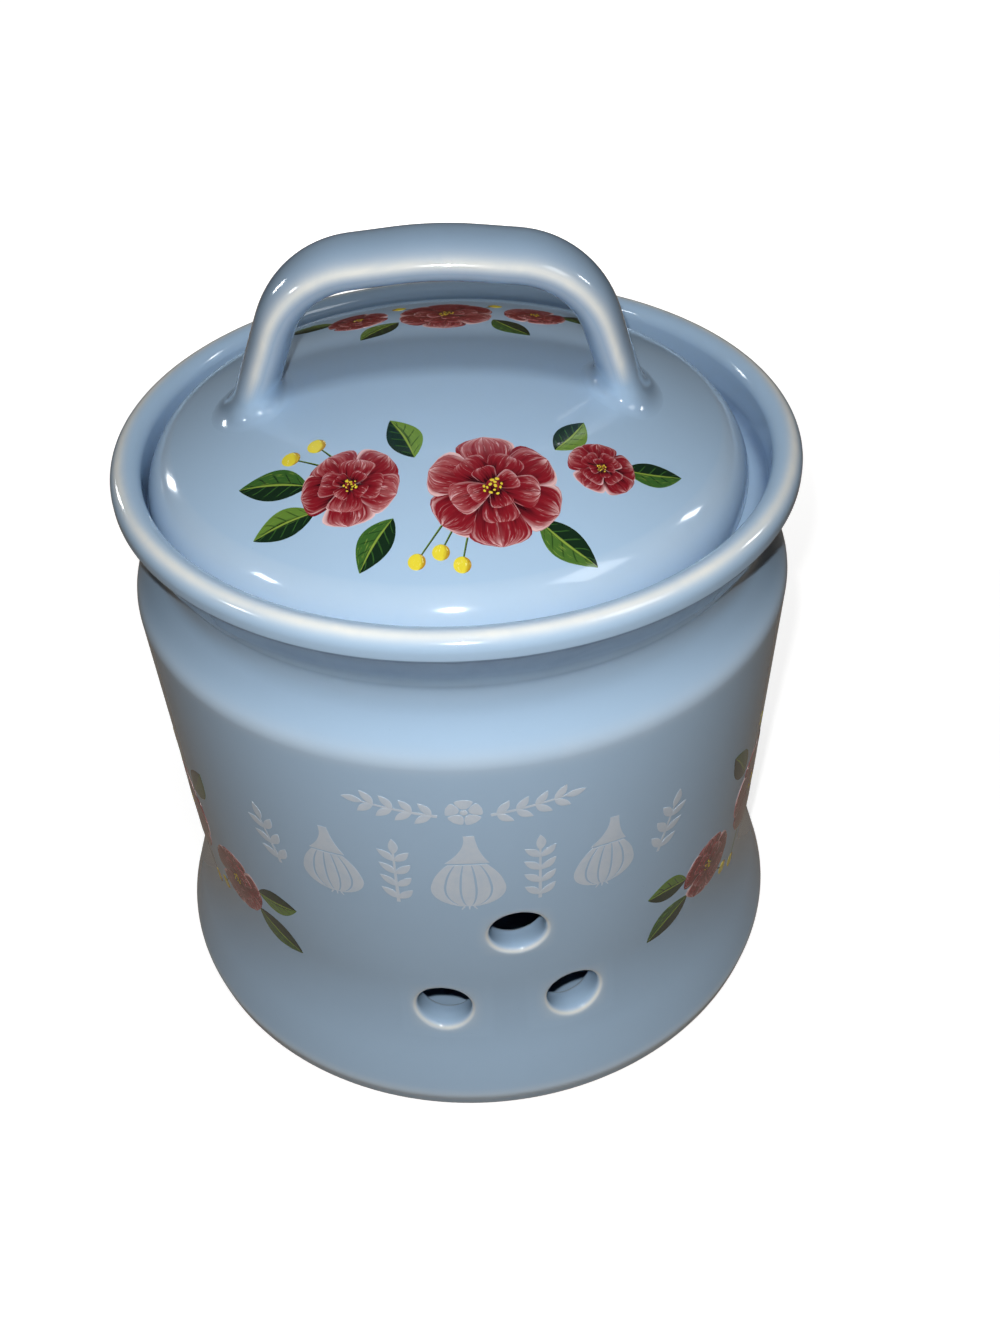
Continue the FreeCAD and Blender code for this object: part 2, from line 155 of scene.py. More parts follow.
# ---- node graphs ---------------------------------------------------------------------------
class Wire:
    """A node's output. Arithmetic on it adds math nodes to its graph."""

    def __init__(self, graph, socket):
        self.graph, self.socket = graph, socket

    def __add__(self, other):
        return self.graph.math("ADD", self, other)

    def __sub__(self, other):
        return self.graph.math("SUBTRACT", self, other)

    def __rsub__(self, other):
        return self.graph.math("SUBTRACT", other, self)

    def __mul__(self, other):
        return self.graph.math("MULTIPLY", self, other)

    def __truediv__(self, other):
        return self.graph.math("DIVIDE", self, other)

    def __rtruediv__(self, other):
        return self.graph.math("DIVIDE", other, self)

    def __mod__(self, other):
        return self.graph.math("MODULO", self, other)

    def __pow__(self, other):
        return self.graph.math("POWER", self, other)

    def __abs__(self):
        return self.graph.math("ABSOLUTE", self)

    __radd__ = __add__

    def clamped(self):
        """The same output, kept between 0 and 1."""
        self.socket.node.use_clamp = True
        return self


class Graph:
    """Adds nodes to a tree and links them."""

    def __init__(self, tree):
        self.tree = tree

    def feed(self, node, inputs):
        for key, value in inputs.items():
            socket = node.inputs[key]
            if isinstance(value, Wire):
                self.tree.links.new(value.socket, socket)
            elif socket.type == "RGBA" and len(value) == 3:
                socket.default_value = (*value, 1.0)
            else:
                socket.default_value = value

    def add(self, kind, inputs=None, **settings):
        node = self.tree.nodes.new(kind)
        for key, value in settings.items():
            setattr(node, key, value)
        self.feed(node, inputs or {})
        return node

    def out(self, kind, inputs=None, output=0, **settings):
        """One output of a new node."""
        return Wire(self, self.add(kind, inputs, **settings).outputs[output])

    def wires(self, node):
        """All outputs of a node by name."""
        return {socket.name: Wire(self, socket) for socket in node.outputs}

    def math(self, operation, *values):
        return self.out("ShaderNodeMath", dict(enumerate(values)), operation=operation)

    def most(self, first, second):
        return self.math("MAXIMUM", first, second)

    def mix(self, factor, first, second, blend="MIX"):
        inputs = {0: factor, 6: first, 7: second}
        return self.out("ShaderNodeMix", inputs, 2, data_type="RGBA", blend_type=blend)

    def ease(self, value, low, high):
        """0 below low and 1 above high, with a soft step between."""
        inputs = {"Value": value, "From Min": low, "From Max": high, "To Min": 0.0, "To Max": 1.0}
        return self.out("ShaderNodeMapRange", inputs, "Result", interpolation_type="SMOOTHSTEP")

    def noise(self, vector, scale, detail=2.0, roughness=0.5, distortion=0.0):
        return self.out("ShaderNodeTexNoise", {
            "Vector": vector, "Scale": scale, "Detail": detail,
            "Roughness": roughness, "Distortion": distortion,
        }, "Fac")

    def bump(self, height, strength, distance):
        return self.out("ShaderNodeBump", {"Height": height, "Strength": strength, "Distance": distance})

    def vector(self, x=0.0, y=0.0, z=0.0):
        return self.out("ShaderNodeCombineXYZ", {0: x, 1: y, 2: z})

    def attribute(self, name):
        return self.out("ShaderNodeAttribute", output="Fac", attribute_name=name)

    def place(self):
        return self.out("ShaderNodeTexCoord", output="Object")

    def seen(self):
        """1 for what the camera sees directly."""
        return self.out("ShaderNodeLightPath", output="Is Camera Ray")


SOCKETS = {
    "colour": "NodeSocketColor", "value": "NodeSocketFloat", "count": "NodeSocketInt",
    "geometry": "NodeSocketGeometry", "material": "NodeSocketMaterial",
}


def node_group(kind, name, inputs, outputs):
    """Empty group with named sockets; gives the group, its graph, its inputs by name and its output node."""
    tree = bpy.data.node_groups.new(name, kind)
    for way, sockets in (("INPUT", inputs), ("OUTPUT", outputs)):
        for socket_kind, labels in sockets.items():
            for label in labels.split():
                tree.interface.new_socket(name=label, in_out=way, socket_type=SOCKETS[socket_kind])
    graph = Graph(tree)
    return tree, graph, graph.wires(graph.add("NodeGroupInput")), graph.add("NodeGroupOutput")


def once(store, name):
    """Decorator: the first call makes the named data block, and later calls find it."""
    def wrap(maker):
        return lambda *args: getattr(bpy.data, store).get(name) or maker(name, *args)
    return wrap


# ---- glaze and paints ----------------------------------------------------------------------
@once("node_groups", "Kiln Glaze")
def kiln_glaze_group(name):
    """Glaze that drifts softly in tone, is paled where it runs thin over edges and where it takes a painted
    highlight, and is darkened where it gathers in hollows and where it takes painted shade.
    """
    tree, g, source, out = node_group(
        "ShaderNodeTree", name, {"colour": "Body Thin Pool", "value": "Clouding Mottling"},
        {"colour": "Colour", "value": "Roughness Height"},
    )
    place = g.place()
    drift = g.noise(place, scale=22.0, detail=3.0, roughness=0.55, distortion=0.4)
    mottle = g.noise(place, scale=310.0, detail=4.0, roughness=0.6)
    grain = g.noise(place, scale=2100.0)
    pull = g.noise(place, scale=90.0, detail=3.0, roughness=0.6, distortion=0.8)
    waves = g.noise(place, scale=40.0, detail=1.0, roughness=0.4)
    thin = (g.attribute("thin") * (pull * 0.8 + 0.62)).clamped()
    pool = (g.attribute("pool") * (pull * 0.5 + 0.75)).clamped()
    light = 1.0 + ((drift - 0.5) * source["Clouding"] + (mottle - 0.5) * source["Mottling"]) * 2.0
    grey = g.out("ShaderNodeCombineColor", {0: light, 1: light, 2: light})
    body = g.mix(1.0, source["Body"], grey, "MULTIPLY")
    edged = g.mix(thin, g.mix(pool, body, source["Pool"]), source["Thin"])
    speck_colour = (0.16, 0.20, 0.28)
    g.feed(out, {
        "Colour": g.mix(g.ease(grain, 0.74, 0.80) * 0.22, edged, speck_colour),
        "Roughness": drift * 0.04 + 0.10,
        "Height": mottle * 0.04 + waves,
    })
    return tree


@once("node_groups", "Brush Strokes")
def brush_group(name):
    """Streaks that run along a painted stroke, different on every stroke."""
    tree, g, source, out = node_group(
        "ShaderNodeTree", name, {"value": "Streaks Length"}, {"value": "Across Along Streak Tone Fine"}
    )
    sheet = g.out("ShaderNodeUVMap", output="UV", uv_map="UVMap")
    uv = g.wires(g.add("ShaderNodeSeparateXYZ", {0: sheet}))
    tone = g.attribute("tone")
    across = uv["X"] * 2.0 - 1.0
    lines = g.vector(across * source["Streaks"], uv["Y"] * source["Length"], tone * 37.0)
    g.feed(out, {
        "Across": across,
        "Along": uv["Y"],
        "Streak": g.noise(lines, scale=1.0, detail=3.0, roughness=0.6, distortion=0.6),
        "Fine": g.noise(lines, scale=3.1, detail=3.0, roughness=0.6, distortion=0.3),
        "Tone": tone,
    })
    return tree


def surface(name):
    """New material with its graph and its Principled BSDF."""
    material = bpy.data.materials.new(name)
    material.use_nodes = True
    return material, Graph(material.node_tree), material.node_tree.nodes["Principled BSDF"]


@once("materials", "Cornflower glaze")
def blue_glaze(name, settings):
    """Cornflower glaze over clay, bare where the piece stood in the kiln."""
    glaze = settings.glaze
    material, g, shader = surface(name)
    kiln = g.wires(g.add("ShaderNodeGroup", {
        "Body": glaze.body, "Thin": glaze.thin, "Pool": glaze.pool,
        "Clouding": glaze.cloud, "Mottling": glaze.mottle,
    }, node_tree=kiln_glaze_group()))
    clay_grain = g.noise(g.place(), scale=900.0, detail=4.0, roughness=0.65)
    clay_shade = (0.40, 0.34, 0.27)
    bare = g.ease(g.attribute("bare") + (clay_grain * 0.3 - 0.15), 0.42, 0.58)
    clay = g.mix(clay_grain * 0.5, glaze.bare, clay_shade)
    height = kiln["Height"] + bare * (clay_grain * 0.6)
    g.feed(shader, {
        "Base Color": g.mix(bare, kiln["Colour"], clay),
        "Roughness": (bare * 0.7 + kiln["Roughness"]).clamped(),
        "Coat Weight": (1.0 - bare) * 0.3,
        "Coat Roughness": 0.03,
        "Normal": g.bump(height, strength=0.5, distance=0.08 * MM),
    })
    return material


def print_surface(name, streaks, run, roughness=0.2):
    """New print material with its fired gloss set; gives also its brush group's outputs."""
    material, g, shader = surface(name)
    brush = g.wires(g.add("ShaderNodeGroup", {"Streaks": streaks, "Length": run}, node_tree=brush_group()))
    g.feed(shader, {
        "Roughness": roughness, "Coat Weight": 0.55, "Coat Roughness": 0.035,
        "Normal": g.bump(brush["Fine"], strength=0.25, distance=0.05 * MM),
    })
    return material, g, shader, brush


@once("materials", "Petal paint")
def petal_paint(name, settings):
    """Crimson petals: dark hearts, rose ends and pale strokes along the edges."""
    prints = settings.prints
    material, g, shader, brush = print_surface(name, streaks=4.2, run=0.9)
    along, streak, apart = brush["Along"], brush["Streak"], abs(brush["Across"])
    reach = along + (streak * 1.25 - 0.62) + (brush["Tone"] * 0.30 - 0.16)
    red = g.mix(g.ease(reach, 0.14, 0.56), prints.petal_dark, prints.petal_red)
    rose = g.mix(g.ease(reach, 0.60, 1.04), red, prints.petal_rose)
    rim = g.most(apart ** 3.0, along ** 5.0)
    edge = g.ease(rim, 0.28, 0.92) * g.ease(streak, 0.46, 0.62)
    lit = g.ease(brush["Fine"], 0.56, 0.70) * g.ease(reach, 0.45, 0.9)
    body = g.mix(g.most(edge * 0.95, lit * 0.75), rose, prints.petal_pale)
    crease = (1.0 - g.ease(apart, 0.0, 0.16)) * (0.75 - along * 0.75)
    g.feed(shader, {"Base Color": g.mix(crease, body, prints.petal_dark)})
    return material


@once("materials", "Leaf paint")
def leaf_paint(name, settings):
    """Leaves with one half in shade, a light midrib and side veins."""
    prints = settings.prints
    fresh_green = (0.150, 0.270, 0.040)
    material, g, shader, brush = print_surface(name, streaks=3.4, run=1.6)
    across, along, apart = brush["Across"], brush["Along"], abs(brush["Across"])
    lit_half = g.ease(across + (brush["Streak"] * 0.9 - 0.45), -0.10, 0.22)
    fresh = g.mix(g.ease(brush["Tone"], 0.35, 0.75), prints.leaf_green, fresh_green)
    body = g.mix(lit_half, prints.leaf_dark, fresh)
    wave = g.math("SINE", (along - apart * 0.22) * 34.0)
    vein = g.ease(wave, 0.80, 0.98) * (1.0 - g.ease(apart, 0.55, 0.95))
    veined = g.mix(vein * 0.7, body, g.mix(lit_half, prints.leaf_green, prints.leaf_dark))
    rib = 1.0 - g.ease(apart, 0.03, 0.09)
    touch = g.ease(brush["Fine"], 0.56, 0.72) * lit_half
    g.feed(shader, {"Base Color": g.mix(g.most(rib * 0.85, touch * 0.65), veined, prints.leaf_light)})
    return material


@once("materials", "Yellow paint")
def yellow_paint(name, settings):
    """Berries and stamens: yellow with an amber shade at one side."""
    amber, straw = (0.42, 0.22, 0.012), (0.90, 0.84, 0.30)
    material, g, shader, brush = print_surface(name, streaks=1.6, run=1.6)
    shade = g.ease(brush["Across"] + brush["Streak"], 0.75, 1.5)
    body = g.mix(shade, settings.prints.yellow, amber)
    g.feed(shader, {"Base Color": g.mix(g.ease(brush["Fine"], 0.6, 0.7), body, straw)})
    return material


@once("materials", "Pale paint")
def pale_paint(name, settings):
    """Thin pale enamel of the frieze: the blue shows through a little, unevenly."""
    material, g, shader, brush = print_surface(name, streaks=1.3, run=1.3, roughness=0.32)
    cover = g.noise(g.place(), scale=420.0, detail=4.0, roughness=0.6) + (brush["Streak"] * 0.5 - 0.25)
    through = g.ease(cover, 0.35, 0.80) * 0.30
    g.feed(shader, {"Base Color": g.mix(through, settings.prints.pale, settings.glaze.body)})
    return material


# ---- curves and meshes ---------------------------------------------------------------------
STEP = 1.3          # spacing of points along straight runs, in mm
UP = np.array((0.0, 0.0, 1.0))


def unit(vector):
    return vector / np.linalg.norm(vector)


def soft_step(value):
    value = np.clip(value, 0, 1)
    return value ** 2 * (3 - 2 * value)


def hill(value, middle, width):
    """1 at the middle, falling softly to 0 on both sides."""
    return np.exp(-((value - middle) / width) ** 2)


def rounded(start, corner, end, t, pull):
    """Point on a curve that leaves its start towards a corner and comes into its end from there."""
    near, far = start + (corner - start) * pull, end + (corner - end) * pull
    return (1 - t) ** 3 * start + 3 * (1 - t) ** 2 * t * near + 3 * (1 - t) * t * t * far + t ** 3 * end


def trace(corners):
    """Points (radius, height, thin, pool) along a profile, with a tangent arc at each rounded corner.

    Corners are (radius, height, rounding, thin, pool) in millimetres, where the last three may be left out.
    Thin says how much the glaze is paled at that corner, by thin glaze and in places by a painted highlight,
    and pool how much it is darkened, by gathered glaze and in places by painted shade."""
    corners = [(*corner, 0, 0, 0)[:5] for corner in corners]
    points = [np.array(corner[:2], float) for corner in corners]
    line, spans = [points[0]], []

    def walk(target):
        start = line[-1]
        gap = np.linalg.norm(target - start)
        pieces = max(1, math.ceil(gap / STEP))
        if gap > 1e-6:
            line.extend(start + (target - start) * i / pieces for i in range(1, pieces + 1))

    for i in range(1, len(points)):
        here, (_, _, rounding, thin, pool) = points[i], corners[i]
        if rounding <= 0 or i == len(points) - 1:
            walk(here)
            spans.append((len(line) - 1, len(line) - 1, 1.0, thin, pool))
            continue
        back, ahead = unit(points[i - 1] - here), unit(points[i + 1] - here)
        half = math.acos(float(np.clip(back @ ahead, -1, 1))) / 2
        reach = rounding / math.tan(half)
        centre = here + unit(back + ahead) * (rounding / math.sin(half))
        walk(here + back * reach)
        first = len(line) - 1
        a, b = here + back * reach - centre, here + ahead * reach - centre
        sweep = math.pi - 2 * half
        pieces = max(4, math.ceil(math.degrees(sweep) / 8), math.ceil(rounding * sweep / STEP))
        for t in (sweep * k / pieces for k in range(1, pieces + 1)):
            line.append(centre + (a * math.sin(sweep - t) + b * math.sin(t)) / math.sin(sweep))
        spans.append((first, len(line) - 1, 0.5, thin, pool))
    line = np.array(line)
    run = np.concatenate([[0], np.cumsum(np.linalg.norm(np.diff(line, axis=0), axis=1))])
    weights = np.zeros((len(line), 2))
    for first, last, margin, thin, pool in spans:
        near = hill(run, (run[first] + run[last]) / 2, (run[last] - run[first]) / 2 + margin)
        weights += near[:, None] * (thin, pool)
    return np.hstack([line, weights])


def fetch(items, name, width=1, kind=np.float32):
    """One property of all items of a mesh collection, as a flat array."""
    values = np.zeros(len(items) * width, dtype=kind)
    items.foreach_get(name, values)
    return values


def facing_out(mesh, points):
    """The closed mesh, with its faces turned outwards if they point in."""
    mesh.calc_loop_triangles()
    corners = fetch(mesh.loop_triangles, "vertices", 3, np.int32)
    a, b, c = (points[corners[k::3]] for k in range(3))
    if np.einsum("ij,ij->", a, np.cross(b, c)) < 0:
        mesh.flip_normals()
    return mesh


class MeshParts:
    """Points with thin, pool and bare values, and faces, gathered into one mesh. Millimetres."""

    def __init__(self):
        self.points, self.values, self.faces = [], [], []

    def point(self, place, thin=0.0, pool=0.0, bare=0.0):
        self.points.append(np.array(place, float))
        self.values.append((thin, pool, bare))
        return len(self.points) - 1

    def turned(self, rows, count, is_bare):
        """Loops of points for rows (radius, height, thin, pool) turned round the axis, from the front."""
        angles = np.arange(count) * 2 * math.pi / count
        loops = []
        for radius, height, thin, pool in rows:
            if radius < 1e-6:
                loops.append([self.point((0, 0, height), pool=pool)])
                continue
            bare = 1.0 if is_bare(radius, height) else 0.0
            ring = np.stack([radius * np.sin(angles), -radius * np.cos(angles), np.full(count, height)], 1)
            loops.append([self.point(place, thin, pool, bare) for place in ring])
        return loops

    def skin(self, loops, holes=None):
        """Faces between neighbouring loops, which may end in single points; holes has segments by row."""
        for row, (first, second) in enumerate(zip(loops, loops[1:])):
            count = max(len(first), len(second))
            for i in range(count):
                j = (i + 1) % count
                if len(first) == 1:
                    self.faces.append((second[j], second[i], first[0]))
                elif len(second) == 1:
                    self.faces.append((first[i], first[j], second[0]))
                elif not holes or i not in holes[row]:
                    self.faces.append((first[i], first[j], second[j], second[i]))

    def mesh(self, name, material):
        mesh = bpy.data.meshes.new(name)
        points = np.array(self.points) * MM
        mesh.from_pydata(points.tolist(), [], self.faces)
        for label, values in zip(("thin", "pool", "bare"), np.array(self.values, dtype=np.float32).T):
            mesh.attributes.new(label, "FLOAT", "POINT").data.foreach_set("value", values.copy())
        mesh.polygons.foreach_set("use_smooth", [True] * len(mesh.polygons))
        mesh.materials.append(material)
        mesh.validate()
        return facing_out(mesh, points)


def shown(mesh, name, body, slot, *nodes):
    """Puts a finished mesh into the scene, riding on its body in place of its CAD nodes."""
    piece = bpy.data.objects.new(name, mesh)
    bpy.context.scene.collection.objects.link(piece)
    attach(piece, body)
    if nodes:
        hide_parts(*nodes)
    return piece


# ---- jar -----------------------------------------------------------------------------------
# Millimetres. What a setting gives, such as a radius, isn't repeated here.
RECESS = 2.4                    # depth of the recessed base
FOOT_RING = 9.8                 # width of the ring that the jar stands on
FOOT_AT, WAIST_AT, SHOULDER_AT = 3.8, 24.0, 98.6    # heights of the wall's corners
NECK_AT, NECK_TOP = 106.7, 110.6
FLARE = ((2.3, 115.2), (4.6, 120.5))    # corners under the roll: out from the gallery, height
ROLL_AT, ROLL_TOP = 120.97, 125.6
ROLL_WIDTH, ROLL_ROUND = 5.7, 2.79
CREST = (-1.75, 125.35)         # where the roll's crest is palest, thin glaze with a painted highlight: out from the rim, height
CREST_THIN_AND_HIGHLIGHT, CREST_WIDTH = 0.85, 1.15
ROLL_FROM = 121.5               # height from which the outside belongs to the roll
ROLL_SHADE = 0.85                 # how dark the painted shade in the flare below the roll is
ROLL_SHADE_FROM, ROLL_SHADE_OVER = 111.5, 5.0   # height where that painted shade starts, and the way to its full depth
BARE_FOOT = (55, 0.45)          # the clay is bare outside this radius and below this height
MOUTH = 53.2                    # radius of the opening below the lid's seat
SEAT = 115.4                    # height of the ledge that the lid rests on
FLOOR_TOP = 7.4
VENTS = ((-12.181, 27.2), (12.181, 27.2), (1.8, 50.583))    # azimuth in degrees, height
VENT_BAND = (16.0, 63.5)        # heights between which the wall's rows are evenly spaced
WALL_BAND = (6.0, 97.0)         # heights between which the outside is plain wall
WALL_CLEAR = 62.0               # and nothing there is nearer to the axis than this
PATCH = range(-7, 7)            # grid cells across a vent's square hole


def inset(before, corner, after, depth):
    """Corner moved inwards by a depth, square to both straight runs that meet in it."""
    lines = []
    for a, b in ((before, corner), (corner, after)):
        run = np.array(b, float) - np.array(a, float)
        lines.append((np.array(a) + unit(np.array((-run[1], run[0]))) * depth, run))
    (p, d), (q, e) = lines
    t = ((q[0] - p[0]) * e[1] - (q[1] - p[1]) * e[0]) / (d[0] * e[1] - d[1] * e[0])
    return p + t * d


def jar_profiles(jar):
    """Profiles of the jar: underside and outside in one line, and inside in another."""
    foot, waist, shoulder = jar.foot_radius / MM, jar.waist_radius / MM, jar.shoulder_radius / MM
    neck, rim, wall = jar.neck_radius / MM, jar.rim_radius / MM, jar.wall / MM
    gallery, ring = rim - ROLL_WIDTH, foot - FOOT_RING
    foot_at, waist_at = (foot, FOOT_AT), (waist, WAIST_AT)
    shoulder_at, neck_at = (shoulder, SHOULDER_AT), (neck, NECK_AT)
    (flare_low, flare_low_at), (flare_high, flare_high_at) = FLARE
    outside = trace([
        (0, RECESS),
        (ring - RECESS, RECESS, 0.9, 0, 0.2),
        (ring, 0, 0.9, 0.3),
        (foot - 0.8, 0, 0.8, 0.2),
        (*foot_at, 3.0, 0.30),
        (*waist_at, 60.0, 0, 0.05),
        (*shoulder_at, 5.0, 0.17),
        # painted shade: the pool values from here up to the roll darken the neck and the flare in the roll's
        # shadow
        (*neck_at, 6.0, 0, 0.06),
        (neck, NECK_TOP, 2.5, 0, 0.20),
        (gallery + flare_low, flare_low_at, 6.0),
        (gallery + flare_high, flare_high_at, 0.5, 0, 0.85),
        (rim, ROLL_AT, 1.2),
        (rim, ROLL_TOP, ROLL_ROUND),
        (gallery, ROLL_TOP, ROLL_ROUND),
        # darker glaze in the gallery's corner: pooled glaze, with painted shade where the rim shadows it
        (gallery, SEAT, 1.6, 0, 0.85),
        (MOUTH, SEAT, 1.0, 0.5),
    ])
    # the roll's crest is paled, partly thin glaze and partly a painted highlight, and the flare below it is
    # darkened with painted shade
    on_roll = outside[:, 1] > ROLL_FROM
    off_crest = np.hypot(outside[:, 0] - (rim + CREST[0]), outside[:, 1] - CREST[1])
    outside[:, 2] += on_roll * CREST_THIN_AND_HIGHLIGHT * hill(off_crest, 0, CREST_WIDTH)
    below_roll = np.arange(len(outside)) < np.argmax(on_roll)
    roll_shade = ROLL_SHADE * soft_step((outside[:, 1] - ROLL_SHADE_FROM) / ROLL_SHADE_OVER)
    outside[:, 3] = np.maximum(outside[:, 3], below_roll * roll_shade)

    waist_in = inset(foot_at, waist_at, shoulder_at, wall)
    shoulder_in = inset(waist_at, shoulder_at, neck_at, wall)
    mouth_low = shoulder_in[1] + (shoulder_in[0] - MOUTH) * (NECK_AT - SHOULDER_AT) / (shoulder - neck)
    floor_radius = waist_in[0] + (waist_in[1] - FLOOR_TOP) * (foot - waist) / (WAIST_AT - FOOT_AT)
    inside = trace([
        (MOUTH, SEAT - 1.0),
        (MOUTH, mouth_low, 6.0),
        (*shoulder_in, 5.0, 0, 0.1),
        (*waist_in, 60.0),
        (floor_radius, FLOOR_TOP, 7.0, 0, 0.3),
        (0, FLOOR_TOP),
    ])
    return outside, inside


def banded(rows, heights):
    """Rows with those inside the vents' band put at given heights, and the number of the first of these."""
    in_band = np.flatnonzero((VENT_BAND[0] <= rows[:, 1]) & (rows[:, 1] <= VENT_BAND[1]))
    first, last = int(in_band[0]), int(in_band[-1])
    way = 1 if rows[last, 1] > rows[first, 1] else -1
    part = rows[first - 1:last + 2][::way]
    new = np.stack([np.interp(heights, part[:, 1], part[:, k]) for k in range(4)], 1)
    new[:, 1] = heights
    return np.vstack([rows[:first], new[::way], rows[last + 1:]]), first


def radius_along(rows):
    """Radius of a wall as a function of height."""
    order = np.argsort(rows[:, 1])
    heights, radii = rows[order, 1], rows[order, 0]
    return lambda z: np.interp(z, heights, radii)


def outer_radius(outside):
    """Outside radius of the jar's wall between foot and shoulder as a function of height."""
    radii, heights = outside[:, 0], outside[:, 1]
    on_wall = (heights > WALL_BAND[0]) & (heights < WALL_BAND[1]) & (radii > WALL_CLEAR)
    return radius_along(outside[on_wall])


def add_vent(parts, jar, azimuth, height, edges, radii):
    """Rings from the outer grid's square hole over the vent's two rounded lips to the inner grid's hole."""
    a = math.radians(azimuth)
    across, out = np.array((math.cos(a), math.sin(a), 0)), np.array((math.sin(a), -math.cos(a), 0))
    lip = jar.vent_lip / MM
    wide = jar.vent_bore / MM / 2 + lip

    def flattened(place):
        return np.array((place @ across, place[2] - height))

    flats = [[flattened(parts.points[i]) for i in edge] for edge in edges]
    ways = [unit(flat) for flat in flats[0]]

    def on_wall(flat, radius):
        z = height + flat[1]
        return across * flat[0] + out * math.sqrt(float(radius(z)) ** 2 - flat[0] ** 2) + UP * z

    def patch(side, shares):
        """Rings from the round lip at share 0 to the square hole at share 1."""
        for share in shares:
            thin = 0.16 * max(0.0, 1 - share * 2.2) ** 2
            ring = [way * wide * (1 - share) + flat * share for way, flat in zip(ways, flats[side])]
            yield [parts.point(on_wall(flat, radii[side]), thin) for flat in ring]

    def lip_rings(side, inward, count):
        """Rings over one rounded lip, from the wall's surface to the bore."""
        rings = [[] for _ in range(count)]
        for way in ways:
            edge, beyond = on_wall(way * wide, radii[side]), on_wall(way * (wide + 0.2), radii[side])
            slope = unit(edge - beyond)
            reach = lip / max(0.2, -(slope @ (across * way[0] + UP * way[1])))
            corner = edge + slope * reach
            for k, ring in enumerate(rings):
                t = (k + 1) / count
                place = rounded(edge, corner, corner + inward * lip, t, pull=0.5523)
                # thin glaze on the lip's crest, set strong as a painted highlight
                ring.append(parts.point(place, thin=0.85 * hill(t, 0.40, 0.26)))
        return rings

    loops = [edges[0], *patch(0, (0.72, 0.42, 0.18, 0.0)), *lip_rings(0, -out, 9)]
    inner_lip = lip_rings(1, out, 7)[::-1]
    bore_ends = list(zip(loops[-1], inner_lip[0]))
    for share in (0.25, 0.5, 0.75):
        places = (parts.points[a] * (1 - share) + parts.points[b] * share for a, b in bore_ends)
        loops.append([parts.point(place, pool=0.12) for place in places])
    parts.skin([*loops, *inner_lip, *patch(1, (0.0, 0.3, 0.65)), edges[1]])


def jar_mesh(settings):
    """Turned jar, with a square hole in its outer and its inner grid at each vent, and the vents between."""
    jar, count = settings.jar, settings.jar.segments
    cells = round((VENT_BAND[1] - VENT_BAND[0]) / STEP)
    heights = np.linspace(*VENT_BAND, cells + 1)
    (outside, out_first), (inside, in_first) = (banded(rows, heights) for rows in jar_profiles(jar))
    rows = np.vstack([outside, inside[1:]])
    in_last = in_first + len(outside) - 1 + cells
    parts = MeshParts()
    loops = parts.turned(rows, count, lambda radius, height: radius > BARE_FOOT[0] and height < BARE_FOOT[1])
    low, high = PATCH.start, PATCH.stop
    walk = [(i, low) for i in PATCH] + [(high, i) for i in PATCH]
    walk += [(-i, high) for i in PATCH] + [(low, -i) for i in PATCH]
    holes = collections.defaultdict(set)
    vents = []
    for azimuth, height in VENTS:
        column, level = round(azimuth / 360 * count), int(np.argmin(abs(heights - height)))
        edges = []
        for start, way in ((out_first + level, 1), (in_last - level, -1)):
            edges.append([loops[start + k * way][(column + c) % count] for c, k in walk])
            for k in PATCH:
                row = min(start + k * way, start + (k + 1) * way)
                holes[row].update((column + c) % count for c in PATCH)
        vents.append((azimuth, height, edges))
    parts.skin(loops, holes)
    radii = outer_radius(outside), radius_along(rows[in_last - cells - 3:in_last + 4])
    for azimuth, height, edges in vents:
        add_vent(parts, jar, azimuth, height, edges, radii)
    return parts.mesh("jar_glazed", blue_glaze(settings))


# ---- lid -----------------------------------------------------------------------------------
LID_SIDE = 2.05                 # straight side above the seat
LID_PUSH = (-1.8219, -0.3213)   # the lid was set down this far off the jar's axis
FLANGE_OUT, FLANGE_IN, FLANGE_LOW = 50.2, 46.2, SEAT - 7.5
HOLLOW_ROUND = 6.0              # rounding inside, between the flange and the dome
EDGE_STEPS = 14


class Dome:
    """One side of the lid: a sphere with a rounded edge."""

    def __init__(self, lid, inwards=0.0, radius=None, edge_round=None):
        outer, sphere, edge = lid.radius / MM, lid.dome_radius / MM, lid.edge_round / MM
        rise = math.sqrt((sphere - edge) ** 2 - (outer - edge) ** 2)
        self.centre = SEAT + LID_SIDE - rise
        self.sphere = sphere - inwards
        self.radius = radius or outer
        self.edge = edge_round or edge
        self.edge_x = self.radius - self.edge
        edge_rise = math.sqrt((self.sphere - self.edge) ** 2 - self.edge_x ** 2)
        self.edge_z = self.centre + edge_rise
        self.lean = math.atan2(edge_rise, self.edge_x)
        self.tangent = self.sphere * math.cos(self.lean)

    def at(self, r):
        """Height and the normal's (outward, upward) parts at a distance from the axis."""
        if r <= self.tangent:
            z = math.sqrt(self.sphere ** 2 - r * r)
            return self.centre + z, r / self.sphere, z / self.sphere
        x = min((r - self.edge_x) / self.edge, 0.9999)
        up = math.sqrt(1 - x * x)
        return self.edge_z + self.edge * up, x, up

    def rows(self, thin_edge=0.0):
        """Profile rows from the top down to the straight side."""
        steps = math.ceil(self.tangent / STEP)
        made = [(r, self.at(r)[0], 0.0, 0.0) for r in (self.tangent * i / steps for i in range(steps + 1))]
        for i in range(1, EDGE_STEPS + 1):
            a = self.lean * (1 - i / EDGE_STEPS)
            place = self.edge_x + self.edge * math.cos(a), self.edge_z + self.edge * math.sin(a)
            made.append((*place, thin_edge * hill(i, 5, 5), 0.0))
        return np.array(made)


def set_down(points, settings):
    """Turns the lid's points and pushes them to where the lid was set down. Millimetres."""
    c, s = math.cos(settings.lid.turn), math.sin(settings.lid.turn)
    x = points[:, 0] * c - points[:, 1] * s + LID_PUSH[0]
    y = points[:, 0] * s + points[:, 1] * c + LID_PUSH[1]
    return np.stack([x, y, points[:, 2]], 1)


